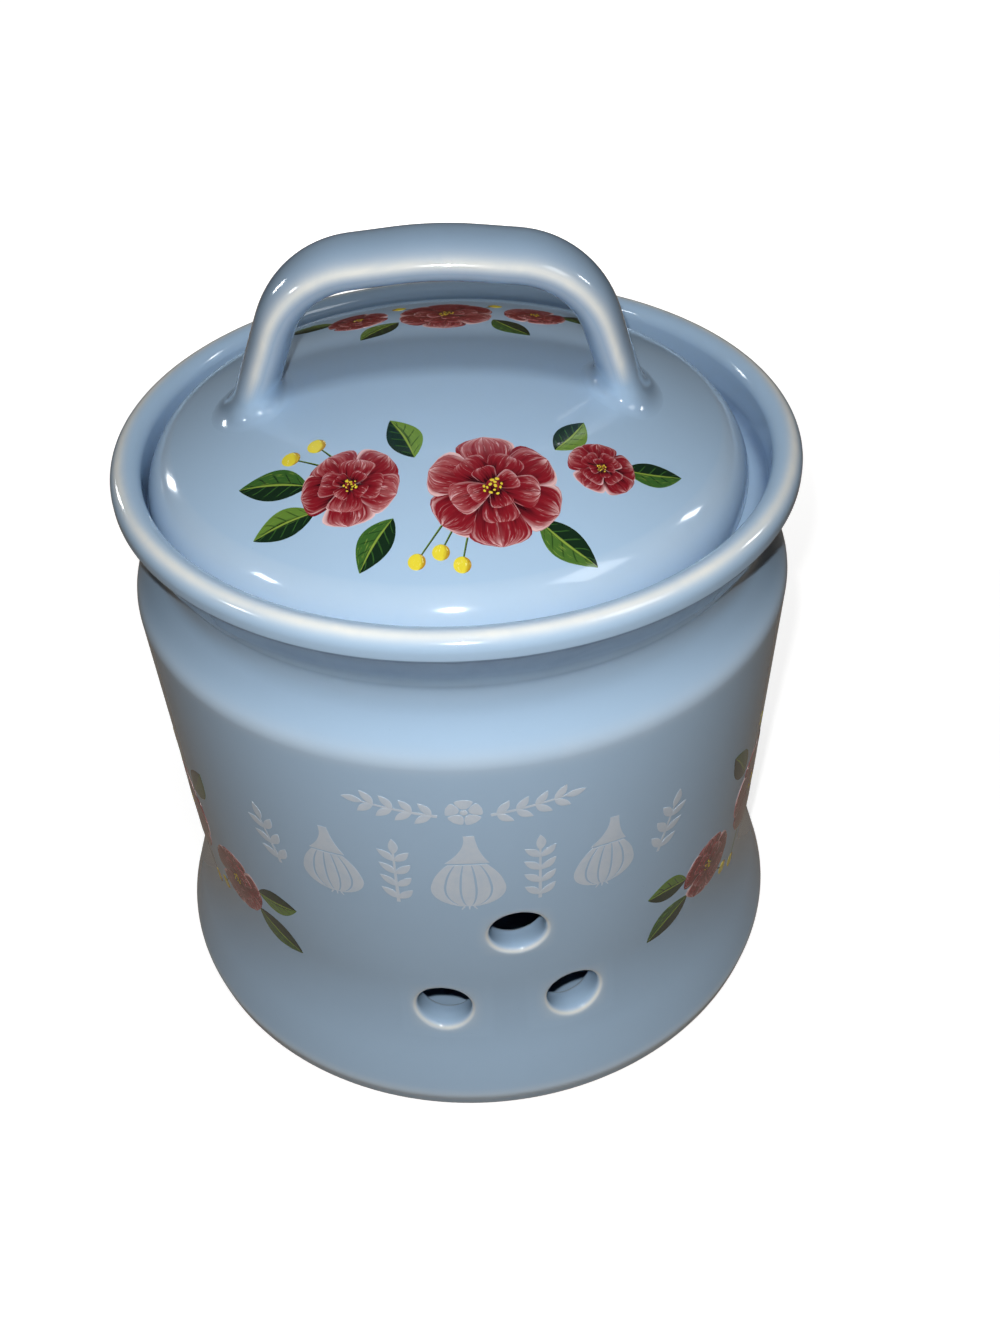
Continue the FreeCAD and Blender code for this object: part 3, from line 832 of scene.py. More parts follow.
def lid_mesh(settings):
    lid = settings.lid
    dome = Dome(lid)
    below = trace([
        (dome.radius, dome.edge_z),
        (dome.radius, SEAT, 0.9, 0.2),
        (FLANGE_OUT, SEAT, 0.3, 0, 0.5),
        (FLANGE_OUT, FLANGE_LOW, 1.5, 0.35),
        (FLANGE_IN, FLANGE_LOW, 1.5, 0.35),
        (FLANGE_IN, SEAT),
    ])
    hollow = Dome(lid, inwards=lid.wall / MM, radius=FLANGE_IN, edge_round=HOLLOW_ROUND).rows()[::-1]
    rows = np.vstack([dome.rows(thin_edge=0.12), below[1:-1], hollow])
    bare_ring = FLANGE_OUT - 0.2, dome.radius - 1.2
    parts = MeshParts()
    parts.skin(parts.turned(rows, lid.segments, lambda radius, height: (
        bare_ring[0] < radius < bare_ring[1] and abs(height - SEAT) < 0.2)))
    parts.points = list(set_down(np.array(parts.points), settings))
    return parts.mesh("lid_glazed", blue_glaze(settings))


# ---- handle --------------------------------------------------------------------------------
SECTION_POINTS = 56
SECTION_POWER = 2.15            # 2 would be an oval, and more is squarer
FOOT_X, LEFT_FOOT_X = 34.0, 35.8    # where the legs meet the dome; the left one was luted further out
HANDLE_RISE = 26.6              # top of the strap over the dome
SHOULDER_X, SHOULDER_DROP = 25.8, 2.7   # the strap's shoulders, and how far they lie below its middle
SHOULDER_ROUND, MIDDLE_ROUND = 17.5, 70.0
HANDLE_SHIFT = -0.3             # the handle was luted this far off the middle of the lid
CLAY_STEPS = 12                 # rings of the clay worked up round a foot
CLAY_RISE = 1.15                # how much higher than wide that clay reaches
CLAY_UNEVEN = 0.14              # share by which its width varies round the foot
CLAY_SUNK = 0.6                 # how far its last ring lies inside the dome


def strap_path(settings, dome):
    """Middle line of the strap from foot to foot."""
    middle = dome.centre + dome.sphere + HANDLE_RISE - settings.handle.strap_thick / MM / 2
    shoulder = middle - SHOULDER_DROP
    roots = []
    for foot_x in (LEFT_FOOT_X, FOOT_X):
        foot = dome.at(foot_x)[0]
        lean = (foot_x - SHOULDER_X) / (shoulder - foot)
        roots.append((foot_x + lean * 2.0, foot - 2.0))
    (left_x, left_z), right = roots
    line = trace([
        (-left_x, left_z), (-SHOULDER_X, shoulder, SHOULDER_ROUND), (0, middle, MIDDLE_ROUND),
        (SHOULDER_X, shoulder, SHOULDER_ROUND), right,
    ])
    return np.stack([line[:, 0] + HANDLE_SHIFT, np.zeros(len(line)), line[:, 1]], 1)


def strap_section(half_w, half_t):
    """Flattened round section of the strap: (across, outward, thin, pool) of its points.

    The glaze is paled along both side corners, most on the upper side, as a painted highlight over thin
    glaze, and darkened all round, most towards the underside, where it is painted shade."""
    rows = []
    for k in range(SECTION_POINTS):
        a = 2 * math.pi * k / SECTION_POINTS
        c, s = math.cos(a), math.sin(a)
        w = half_w * math.copysign(abs(c) ** (2 / SECTION_POWER), c)
        t = half_t * math.copysign(abs(s) ** (2 / SECTION_POWER), s)
        out_w = (abs(w) / half_w) ** (SECTION_POWER - 1) / half_w
        out_t = (abs(t) / half_t) ** (SECTION_POWER - 1) / half_t
        lean = math.degrees(math.atan2(out_t, out_w))
        # painted highlight over thin glaze, set where the strap's highlight lies, stronger on the upper side
        thin = (0.92 if t > 0 else 0.20) * hill(lean, 28, 27)
        # darker towards the underside: painted shade
        rows.append((w, t, thin, 0.42 - 0.22 * t / half_t))
    return rows


def clay_rings(parts, dome, base, along, offsets, size, swell):
    """Rings that carry the strap down into the dome with a hollow curve of clay round it, to their middle."""
    centre = UP * dome.centre
    loops = [[] for _ in range(CLAY_STEPS + 1)]
    sunk = []
    for k, offset in enumerate(offsets):
        start = base + offset
        # where the strap's side would run into the dome
        b = along @ (start - centre)
        c = (start - centre) @ (start - centre) - dome.sphere ** 2
        corner = start + along * (-b - math.sqrt(b * b - c))
        normal = (corner - centre) / dome.sphere
        outward = unit(offset)
        outward = unit(outward - normal * (outward @ normal))
        reach = size * (1 + CLAY_UNEVEN * math.sin(6 * math.pi * k / len(offsets) + swell))
        top = corner - along * reach * CLAY_RISE
        end = centre + unit(corner + outward * reach - centre) * (dome.sphere - 0.02)
        for i, loop in enumerate(loops):
            t = i / CLAY_STEPS
            loop.append(parts.point(rounded(top, corner, end, t, pull=0.62), pool=0.22 * hill(t, 0.55, 0.3)))
        sunk.append(parts.point(centre + (end - centre) * (1 - CLAY_SUNK / dome.sphere)))
    middle = np.mean([parts.points[i] for i in sunk], axis=0)
    return [*loops, sunk, [parts.point(middle)]]


def handle_mesh(settings):
    handle = settings.handle
    dome = Dome(settings.lid)
    path = strap_path(settings, dome)
    section = strap_section(handle.strap_width / MM / 2, handle.strap_thick / MM / 2)
    size = handle.foot_round / MM
    across = np.array((0, 1, 0))
    parts = MeshParts()
    strap = []
    for place, step in zip(path, np.gradient(path, axis=0)):
        if place[2] > dome.at(FOOT_X)[0] + size * CLAY_RISE + 3.0:
            along = unit(step)
            outward = unit(np.cross(along, across))
            offsets = [across * w + outward * t for w, t, _, _ in section]
            ring = [parts.point(place + offset, *glaze) for offset, (_, _, *glaze) in zip(offsets, section)]
            strap.append((ring, offsets, along, place))
    _, offsets, along, place = strap[-1]
    right = clay_rings(parts, dome, place, along, offsets, size, swell=0.7)
    _, offsets, along, place = strap[0]
    left = clay_rings(parts, dome, place, -along, offsets, size, swell=2.3)
    parts.skin([*reversed(left), *(entry[0] for entry in strap), *right])
    parts.points = list(set_down(np.array(parts.points), settings))
    return parts.mesh("lid_handle_glazed", blue_glaze(settings))


# ---- prints: growing motifs with geometry nodes --------------------------------------------
def growth_group(name, values):
    inputs = {"geometry": "Geometry", "count": "Count Seed", "value": values, "material": "Material"}
    return node_group("GeometryNodeTree", name, inputs, {"geometry": "Geometry"})


def chance(g, low, high, seed, offset):
    """Random value for each point."""
    inputs = {2: low, 3: high, 8: seed + float(offset)}
    return g.out("FunctionNodeRandomValue", inputs, 1, data_type="FLOAT")


def planted(g, source, out, place, angle, scale):
    """Instances of the incoming stroke on points, each with a tone of its own, made real."""
    grown_on = g.out("GeometryNodeInstanceOnPoints", {
        "Points": g.out("GeometryNodePoints", {"Count": source["Count"], "Position": place}),
        "Instance": source["Geometry"],
        "Rotation": g.out("FunctionNodeEulerToRotation", {0: g.vector(z=angle)}),
        "Scale": g.vector(scale, scale, 1.0),
    })
    toned = g.out("GeometryNodeStoreNamedAttribute", {
        "Geometry": grown_on, "Name": "tone", "Value": chance(g, 0.0, 1.0, source["Seed"], 5),
    }, data_type="FLOAT", domain="INSTANCE")
    real = g.out("GeometryNodeRealizeInstances", {"Geometry": toned})
    painted = g.out("GeometryNodeSetMaterial", {"Geometry": real, "Material": source["Material"]})
    g.feed(out, {"Geometry": painted})


@once("node_groups", "Petal Ring")
def petal_ring(name):
    """One petal repeated round a middle, every other one a layer higher."""
    tree, g, source, out = growth_group(name, "Twist Wander Layer")
    index = g.out("GeometryNodeInputIndex")
    wander = chance(g, -1.0, 1.0, source["Seed"], 1) * source["Wander"]
    angle = index * (2 * math.pi / source["Count"]) + source["Twist"] + wander
    place = g.vector(z=(index % 2.0) * source["Layer"])
    planted(g, source, out, place, angle, chance(g, 0.93, 1.0, source["Seed"], 2))
    return tree


@once("node_groups", "Leaf Pairs")
def leaf_pairs(name):
    """One leaf repeated in pairs along a stalk."""
    tree, g, source, out = growth_group(name, "Step Angle")
    index = g.out("GeometryNodeInputIndex")
    side = (index % 2.0) * 2.0 - 1.0
    place = g.vector(y=(g.math("FLOOR", index / 2.0) + 0.3) * source["Step"])
    planted(g, source, out, place, side * source["Angle"], chance(g, 0.95, 1.0, source["Seed"], 2))
    return tree


@once("node_groups", "Seed Head")
def seed_head(name):
    """Dots packed round a middle as in a seed head."""
    golden_angle = 2.39996
    tree, g, source, out = growth_group(name, "Radius")
    index = g.out("GeometryNodeInputIndex")
    away = g.math("SQRT", (index + 0.5) / source["Count"]) * source["Radius"]
    angle = index * golden_angle + chance(g, -0.35, 0.35, source["Seed"], 1)
    place = g.vector(away * g.math("COSINE", angle), away * g.math("SINE", angle))
    planted(g, source, out, place, angle, chance(g, 0.7, 1.15, source["Seed"], 2))
    return tree


def grown(mesh, tree, values):
    """A mesh put through a geometry tree, as a plain mesh."""
    carrier = bpy.data.objects.new(mesh.name, mesh)
    bpy.context.scene.collection.objects.link(carrier)
    modifier = carrier.modifiers.new("Grow", "NODES")
    modifier.node_group = tree
    for item in tree.interface.items_tree:
        if item.item_type == "SOCKET" and item.in_out == "INPUT" and item.name in values:
            modifier[item.identifier] = values[item.name]
    result = bpy.data.meshes.new_from_object(carrier.evaluated_get(bpy.context.evaluated_depsgraph_get()))
    bpy.data.objects.remove(carrier)
    bpy.data.meshes.remove(mesh)
    return result


# ---- prints: strokes -----------------------------------------------------------------------
# A stroke is drawn flat in millimetres: X right, Y up the print, Z its layer. Its underside lies at UNDER
# until the stroke is laid on the glaze, where it sinks in by SINK.
UNDER = -1.0
SINK = 0.03


def stroke(edge, nu, nv, layer, bulge=0.5):
    """Closed thin sheet of a stroke: edge(v) gives its left and right points, and u runs between them."""
    top, uv = [], []
    for v in (j / nv for j in range(nv + 1)):
        left, right = np.array(edge(v))
        for u in (i / nu for i in range(nu + 1)):
            near_rim = max(abs(2 * u - 1), abs(2 * v - 1)) ** 8
            top.append((*(left * (1 - u) + right * u), layer * (1 - bulge * near_rim)))
            uv.append((u, v))
    count = len(top)
    points = top + [(x, y, UNDER) for x, y, _ in top]

    def at(i, j):
        return j * (nu + 1) + i

    faces = []
    for j in range(nv):
        for i in range(nu):
            quad = (at(i, j), at(i + 1, j), at(i + 1, j + 1), at(i, j + 1))
            faces += [quad, tuple(count + k for k in reversed(quad))]
    rim = [at(i, 0) for i in range(nu)] + [at(nu, j) for j in range(nv)]
    rim += [at(i, nv) for i in range(nu, 0, -1)] + [at(0, j) for j in range(nv, 0, -1)]
    faces += [(b, a, count + a, count + b) for a, b in zip(rim, rim[1:] + rim[:1])]
    mesh = bpy.data.meshes.new("stroke")
    mesh.from_pydata(points, [], faces)
    corners = fetch(mesh.loops, "vertex_index", kind=np.int32)
    both = np.array(uv + uv, dtype=np.float32)
    mesh.uv_layers.new(name="UVMap").data.foreach_set("uv", both[corners].ravel())
    return mesh


def petal(long, wide, layer, notch=0.10, start=0.10):
    """Petal from the origin along +Y, widest past its middle, with a soft notch in its end."""
    def edge(v):
        spread = 0.14 + 0.86 * math.sin(math.pi * min(1.0, v * 0.5 + 0.02 + 0.34 * v * v)) ** 0.8
        close = math.sqrt(max(0.0, 1 - max(0.0, (v - 0.72) / 0.28) ** 2.6))
        half = wide / 2 * spread * (0.10 + 0.90 * close) + 0.02 * wide * math.sin(9 * v)
        y = long * (start + (1 - start) * v) - 0.2 * notch * long * max(0.0, (v - 0.6) / 0.4) ** 2
        return (-half, y), (half, y)
    return stroke(edge, 10, 14, layer)


def leaf(long, wide, layer):
    """Pointed leaf from the origin along +Y."""
    def edge(v):
        half = wide / 2 * (0.02 + 0.98 * math.sin(math.pi * v ** 0.92) ** 0.9)
        sway = 0.04 * long * math.sin(math.pi * v)
        return (sway - half, long * v), (sway + half, long * v)
    return stroke(edge, 8, 16, layer)


def dot(radius, layer):
    def edge(v):
        half, y = radius * max(0.06, math.sin(math.pi * v)), -radius * math.cos(math.pi * v)
        return (-half, y), (half, y)
    return stroke(edge, 6, 10, layer, bulge=0.8)


def stem(points, wide, layer):
    """Thin stroke through points, tapering to its end."""
    line = np.array(points, float)

    def edge(v):
        at = v * (len(line) - 1)
        i = min(int(at), len(line) - 2)
        place = line[i] * (1 - at + i) + line[i + 1] * (at - i)
        run = line[i + 1] - line[i]
        side = unit(np.array((-run[1], run[0]))) * wide / 2 * (1 - 0.5 * v)
        return place + side, place - side
    return stroke(edge, 2, max(6, 4 * (len(line) - 1)), layer)


class Drawing:
    """Strokes gathered flat, with their paints, and then laid on the glaze as one mesh."""

    # rings of a blossom's petals: share of its radius, petals more than asked, breadth, twist in petals
    RINGS = ((1.0, 0, 1.34, 0.0), (0.68, -1, 1.20, 0.5), (0.40, None, 1.05, 0.2))
    INNER_PETALS = 4

    def __init__(self, settings):
        self.settings = settings
        self.film = settings.prints.film / MM
        self.step = settings.prints.layer / MM
        self.seed = settings.prints.seed
        self.points, self.faces, self.uv, self.tones, self.paints = [], [], [], [], []
        self.materials = []
        self.total = 0

    def layer(self, number):
        return self.film + self.step * number

    def take(self, mesh, matrix, material, tone=0.5):
        """Adds a mesh, turned and moved flat. A tone that it has already stays."""
        place = fetch(mesh.vertices, "co", 3).reshape(-1, 3).astype(float)
        moved = place @ np.array(matrix.to_3x3()).T + np.array(matrix.translation)
        moved[:, 2] = place[:, 2]
        if "tone" in mesh.attributes:
            tones = fetch(mesh.attributes["tone"].data, "value")
        else:
            tones = np.full(len(place), tone, dtype=np.float32)
        if material not in self.materials:
            self.materials.append(material)
        quads = fetch(mesh.loops, "vertex_index", kind=np.int32).reshape(-1, 4) + self.total
        self.faces += quads.tolist()
        self.paints += [self.materials.index(material)] * len(quads)
        self.points.append(moved)
        self.uv.append(fetch(mesh.uv_layers["UVMap"].data, "uv", 2))
        self.tones.append(tones)
        self.total += len(place)
        bpy.data.meshes.remove(mesh)

    def grow(self, mesh, tree, at, material, **values):
        """Takes a stroke that a geometry tree has repeated."""
        self.seed += 1
        values.update(Seed=self.seed, Material=material)
        self.take(grown(mesh, tree, values), at, material)

    def blossom(self, radius, petals, at, first):
        """Open flower: a ring of wide petals, two smaller rings over it, and a yellow seed head."""
        paint, yellow = petal_paint(self.settings), yellow_paint(self.settings)
        for k, (share, more, breadth, twist) in enumerate(self.RINGS):
            size = radius * share
            count = self.INNER_PETALS if more is None else petals + more
            wide = 2 * math.pi * size * 0.62 / count * breadth
            mesh = petal(size, wide, self.layer(first + 2 * k + 1), notch=0.12)
            turn = twist * 2 * math.pi / count
            self.grow(mesh, petal_ring(), at, paint, Count=count, Twist=turn, Wander=0.10, Layer=self.step)
        self.take(dot(radius * 0.13, self.layer(first + 7)), at, paint, tone=0.02)
        seed = dot(radius * 0.030, self.layer(first + 8))
        self.grow(seed, seed_head(), at, yellow, Count=13, Radius=radius * 0.15)

    def lay(self, name, over):
        """Final mesh: over(x, y, lift) gives the points on the glaze."""
        flat = np.vstack(self.points)
        lift = np.where(flat[:, 2] < UNDER / 2, -SINK, flat[:, 2])
        points = over(flat[:, 0], flat[:, 1], lift) * MM
        mesh = bpy.data.meshes.new(name)
        mesh.from_pydata(points.tolist(), [], self.faces)
        mesh.uv_layers.new(name="UVMap").data.foreach_set("uv", np.concatenate(self.uv))
        mesh.attributes.new("tone", "FLOAT", "POINT").data.foreach_set("value", np.concatenate(self.tones))
        for material in self.materials:
            mesh.materials.append(material)
        mesh.polygons.foreach_set("material_index", self.paints)
        mesh.polygons.foreach_set("use_smooth", [True] * len(mesh.polygons))
        mesh.set_sharp_from_angle(angle=math.radians(50))
        return facing_out(mesh, points)


# ---- prints: sprays ------------------------------------------------------------------------
# Motifs: (kind, size, x, y, turn); a blossom's size is (radius, petals), a leaf's (length, width).
LID_SPRAY = (
    ("leaf", (13.0, 7.0), -23.5, 3.0, 76), ("leaf", (11.0, 6.2), -22.0, -3.0, 106),
    ("leaf", (11.0, 6.0), -8.5, -6.5, 150), ("leaf", (11.0, 6.2), -5.0, 6.5, 24),
    ("leaf", (12.0, 6.4), 16.0, -7.0, -128), ("leaf", (10.5, 5.5), 31.5, 6.5, -82),
    ("leaf", (10.0, 5.5), 19.5, 9.0, -34),
    ("berry", (1.7,), -27.0, 10.5, 0), ("berry", (1.7,), -22.5, 12.5, 0),
    ("berry", (1.5,), -0.5, -13.5, 0), ("berry", (1.5,), -4.5, -15.0, 0), ("berry", (1.5,), 3.0, -15.8, 0),
    ("blossom", (9.0, 5), -16.0, 1.5, 30), ("blossom", (6.2, 5), 27.5, 6.0, 0),
    ("blossom", (12.6, 6), 8.5, -0.5, 10),
)
REAR_SPRAY = (
    ("leaf", (11.0, 6.0), -9.5, 4.0, 40), ("leaf", (11.0, 6.0), 9.5, 4.0, -40),
    ("leaf", (11.0, 6.0), -23.0, -2.5, 100), ("leaf", (11.0, 6.0), 23.0, -2.5, -100),
    ("berry", (1.5,), -10.0, -8.0, 0), ("berry", (1.5,), 10.0, -8.0, 0),
    ("blossom", (6.6, 5), -18.0, -1.5, 20), ("blossom", (6.6, 5), 18.0, -1.5, -20),
    ("blossom", (10.5, 6), 0.0, 0.0, 0),
)
SIDE_SPRAY = (
    ("leaf", (13.0, 7.0), -25.5, -9.5, 122), ("leaf", (11.0, 6.5), -26.5, -3.5, 82),
    ("leaf", (13.0, 6.5), -6.0, 10.5, 35), ("leaf", (14.0, 7.0), 9.5, -8.5, -145),
    ("leaf", (13.0, 6.5), 26.5, 11.0, -62), ("leaf", (12.0, 6.0), 24.5, 2.0, -115),
    ("leaf", (10.0, 5.5), 11.5, 12.5, -15),
    ("berry", (1.7,), -11.0, -14.0, 0), ("berry", (1.7,), -6.0, -16.5, 0), ("berry", (1.7,), 4.0, 17.5, 0),
    ("blossom", (8.4, 5), -19.0, -5.5, 0), ("blossom", (6.5, 5), 21.0, 8.5, 25),
    ("blossom", (12.0, 6), 2.0, 1.0, 15),
)
GOLDEN_SHARE = 0.618034         # spreads the tones of neighbouring motifs
# Where the prints' middles lie. On the lid: how far behind its middle, and turn in degrees.
LID_FRONT, LID_REAR = (-33.0, 0), (28.0, 180)
# On the jar: azimuth from the front in degrees, and height.
JAR_LEFT, JAR_RIGHT, JAR_FRONT = (-73.3, 49.0), (60.7, 49.0), (-6.3, 66.0)


def flat_place(x, y, degrees=0):
    return Matrix.Translation((x, y, 0)) @ Matrix.Rotation(math.radians(degrees), 4, "Z")


def draw_spray(drawing, motifs):
    """Leaves first, then berries on their stalks, then blossoms over them."""
    green, yellow = leaf_paint(drawing.settings), yellow_paint(drawing.settings)
    blossoms = [(x, y, size[0]) for kind, size, x, y, _ in motifs if kind == "blossom"]
    for number, (kind, size, x, y, turn) in enumerate(motifs):
        place = flat_place(x, y, turn)
        tone = (number * GOLDEN_SHARE) % 1.0
        if kind == "leaf":
            drawing.take(leaf(*size, drawing.layer(number % 2)), place, green, tone)
        elif kind == "berry":
            bx, by, _ = min(blossoms, key=lambda b: math.hypot(b[0] - x, b[1] - y) - b[2])
            bend = ((x + bx) / 2 + (y - by) * 0.08, (y + by) / 2 - (x - bx) * 0.08)
            drawing.take(stem([(bx, by), bend, (x, y)], 0.55, drawing.layer(0)), flat_place(0, 0), green, 0.6)
            drawing.take(dot(size[0], drawing.layer(2)), place, yellow, tone)
        else:
            drawing.blossom(*size, place, first=2)


def over_dome(settings, middle_y, turn):
    """Lays flat points on the lid's dome, in plan, lifted along its normal."""
    dome = Dome(settings.lid)
    c, s = math.cos(math.radians(turn)), math.sin(math.radians(turn))

    def over(x, y, lift):
        px, py = x * c - y * s, x * s + y * c + middle_y
        r = np.maximum(np.hypot(px, py), 1e-6)
        z, side, up = np.array([dome.at(float(away)) for away in r]).T
        k = 1 + side * lift / r
        return set_down(np.stack([px * k, py * k, z + up * lift], 1), settings)
    return over


def over_wall(settings, azimuth, height):
    """Lays flat points round the jar's wall."""
    radius = outer_radius(jar_profiles(settings.jar)[0])
    waist = settings.jar.waist_radius / MM

    def over(x, y, lift):
        z = height + y
        a = math.radians(azimuth) + x / waist
        r = radius(z) + lift
        return np.stack([r * np.sin(a), -r * np.cos(a), z], 1)
    return over


# ---- prints: frieze ------------------------------------------------------------------------
# Bulbs are (size, x, y, turn) and sprigs (height, x, y, turn), in millimetres and degrees.
BULBS = ((6.6, 0.0, 0.5, 0), (6.0, -26.0, -0.5, 4), (6.0, 26.0, -0.5, -4))
SPRIGS = ((18.0, -13.2, -5.5, 0), (18.0, 13.2, -5.5, 0), (15.5, -38.0, -4.5, 16), (15.5, 38.0, -4.5, -16))
GARLAND_RISE = 20.5
GARLAND_SPRIGS = ((17.0, 4.6, GARLAND_RISE - 1.0, -81), (17.0, -4.6, GARLAND_RISE - 1.0, 81))
GARLAND_FLOWER = 3.4            # radius
CLOVES = (-1.0, -0.62, -0.21, 0.21, 0.62, 1.0)      # edges of the cloves as shares of the bulb's half width
CLOVE_GAP = 0.42
SPRIG_PITCH = 4.2


def bulb_width(y):
    """Half width of a bulb of unit size at a height."""
    t = (y + 0.98) / 1.93
    belly = 1.09 * math.sin(math.pi * min(1.0, t ** 0.72 * 0.93)) ** 0.72 * (1 - 0.10 * t)
    return max(belly + 0.30 * max(0, t - 0.55), 0.05)


def draw_bulb(drawing, size, place):
    """Garlic bulb of separate cloves under a pinched stalk, with a few root hairs."""
    paint = pale_paint(drawing.settings)
    for k, (left, right) in enumerate(zip(CLOVES, CLOVES[1:])):
        def edge(v, left=left, right=right):
            y = -0.95 + 1.82 * v
            gap = CLOVE_GAP / size / 2 * math.sin(math.pi * v) ** 0.3
            a = left * bulb_width(y) + (gap if left > -1 else 0)
            b = right * bulb_width(y) - (gap if right < 1 else 0)
            if b < a + 0.02:
                a, b = (a + b) / 2 - 0.01, (a + b) / 2 + 0.01
            return (a * size, y * size), (b * size, y * size)
        drawing.take(stroke(edge, 4, 22, drawing.layer(0)), place, paint, (k * 0.37) % 1)

    def neck(v):
        y = 0.93 + 1.15 * v
        half = 0.46 * (1 - v) ** 2.2 + 0.15
        sway = 0.10 * math.sin(2.2 * v)
        return ((sway - half) * size, y * size), ((sway + half) * size, y * size)

    drawing.take(stroke(neck, 4, 12, drawing.layer(1)), place, paint, 0.2)
    for x in (-0.22, 0.0, 0.22):
        hair = [(x * size * 0.6, -0.96 * size), (x * size, -1.1 * size)]
        drawing.take(stem(hair, 0.4, drawing.layer(0)), place, paint)


def draw_sprig(drawing, height, place):
    """Upright sprig: pairs of leaves on a thin stalk, and one leaf at its tip."""
    paint = pale_paint(drawing.settings)
    pairs = int(height / SPRIG_PITCH)
    step = height / (pairs + 1)
    long, wide = 1.15 * step, 0.5 * step
    side_leaf, tip_leaf = leaf(long, wide, drawing.layer(1)), leaf(long, wide, drawing.layer(1))
    drawing.grow(side_leaf, leaf_pairs(), place, paint, Count=pairs * 2, Step=step, Angle=math.radians(46))
    drawing.take(tip_leaf, place @ flat_place(0, height - long), paint, 0.4)
    drawing.take(stem([(0, 0), (0, height - long / 2)], 0.7, drawing.layer(0)), place, paint, 0.4)


def draw_pale_flower(drawing, radius, place):
    paint = pale_paint(drawing.settings)
    mesh = petal(radius, radius * 0.95, drawing.layer(0), notch=0.1, start=0.28)
    drawing.grow(mesh, petal_ring(), place, paint, Count=5, Twist=0.0, Wander=0.0, Layer=0.0)
    drawing.take(dot(radius * 0.2, drawing.layer(1)), place, paint)


# ---- stage ---------------------------------------------------------------------------------
FLOOR_HALF, FLOOR_LEVEL = 3.0, -0.00005     # metres
# Windows and bulbs of the room, which only the glaze's mirror shows: name, power in watts, size in metres,
# then azimuth from the front and lift above the horizon in degrees, and distance in metres.
GLINTS = (
    ("window", 0.42, (0.20, 0.19), 66, 52, 0.60),
    ("left_bulb", 0.40, (0.10, 0.06), -84, 33, 0.70),
    ("right_bulb", 0.30, (0.05, 0.11), 106, 30, 0.70),
    ("far_bulb", 0.30, (0.05, 0.10), -137, 15, 0.70),
)
CAMERA_PLACE = (-0.01761, -0.23416, 0.26351)
CAMERA_TURN = (48.817, 1.138, -7.532)       # degrees
CAMERA_LENS, CAMERA_SHIFT = 37.526, (-0.008308, 0.014993)


def build_floor(settings):
    """Floor that the camera sees white with the object's shadow and painted shade near the object, and that
    throws little light back.
    """
    corners = [(x * FLOOR_HALF, y * FLOOR_HALF, FLOOR_LEVEL) for x, y in ((-1, -1), (1, -1), (1, 1), (-1, 1))]
    mesh = bpy.data.meshes.new("floor")
    mesh.from_pydata(corners, [], [(0, 1, 2, 3)])
    material, g, shader = surface("Pale floor")
    seen, unseen_colour = g.seen(), (0.30, 0.26, 0.22)
    away = g.out("ShaderNodeVectorMath", {0: g.place()}, "Value", operation="LENGTH")
    g.feed(shader, {
        "Base Color": g.mix(seen, unseen_colour, settings.stage.floor),
        "Roughness": 0.9,
        "Specular IOR Level": 0.0,
        "Emission Color": (1, 1, 1),
        # painted shade: the floor glows less near the object
        "Emission Strength": seen * (g.ease(away, 0.08, 0.45) * 0.29 + 0.70),
    })
    mesh.materials.append(material)
    floor = bpy.data.objects.new("floor", mesh)
    bpy.context.scene.collection.objects.link(floor)


def build_world():
    """White behind the object, and a dim warm room round it for its shade and its reflections."""
    world = bpy.data.worlds.new("Studio")
    bpy.context.scene.world = world
    world.use_nodes = True
    g = Graph(world.node_tree)
    ways = g.out("ShaderNodeTexCoord", output="Generated")
    up = g.wires(g.add("ShaderNodeSeparateXYZ", {0: ways}))["Z"]
    low, high, white = (0.060, 0.044, 0.030), (0.020, 0.022, 0.026), (1.0, 1.0, 1.0)
    room = g.mix(g.ease(up, -0.1, 0.9), low, high)
    g.feed(world.node_tree.nodes["Background"], {"Color": g.mix(g.seen(), room, white)})


def lamp(name, power, size, place, aim, tint):
    data = bpy.data.lights.new(name, "AREA")
    data.shape = "RECTANGLE"
    data.size, data.size_y = size
    data.energy = power
    data.color = tint
    light = bpy.data.objects.new(name, data)
    light.location = place
    light.rotation_euler = (Vector(aim) - Vector(place)).to_track_quat("-Z", "Y").to_euler()
    bpy.context.scene.collection.objects.link(light)
    return light


def from_point(point, azimuth, lift, far):
    a, e = math.radians(azimuth), math.radians(lift)
    way = (math.sin(a) * math.cos(e), -math.cos(a) * math.cos(e), math.sin(e))
    return tuple(p + far * w for p, w in zip(point, way))


def build_lights(settings):
    stage = settings.stage
    lamp("key", stage.key, (0.005, 0.005), (-0.024, -0.226, 0.280), (0, -0.07, 0.01), (1.0, 0.995, 0.985))
    ceiling = lamp("ceiling", stage.fill, (0.22, 0.22), (0.0, -0.29, 1.09), (0, 0, 0.08), (1.0, 0.99, 0.97))
    back = lamp("back", stage.back, (0.30, 0.12), (0.0, 0.50, 0.20), (0, 0, 0.07), (1.0, 0.98, 0.95))
    ceiling.visible_glossy = False
    back.visible_glossy = False
    back.visible_camera = False
    lid_edge = (0.0, -0.045, 0.125)
    for name, power, size, azimuth, lift, far in GLINTS:
        place = from_point(lid_edge, azimuth, lift, far)
        glint = lamp(name, power, size, place, lid_edge, (0.97, 0.99, 1.0))
        glint.visible_diffuse = False
        glint.visible_camera = False


def build_camera():
    data = bpy.data.cameras.new("camera")
    data.sensor_width = 36
    data.sensor_fit = "AUTO"
    data.lens = CAMERA_LENS
    data.shift_x, data.shift_y = CAMERA_SHIFT
    camera = bpy.data.objects.new("camera", data)
    camera.location = CAMERA_PLACE
    camera.rotation_euler = [math.radians(angle) for angle in CAMERA_TURN]
    bpy.context.scene.collection.objects.link(camera)
    bpy.context.scene.camera = camera


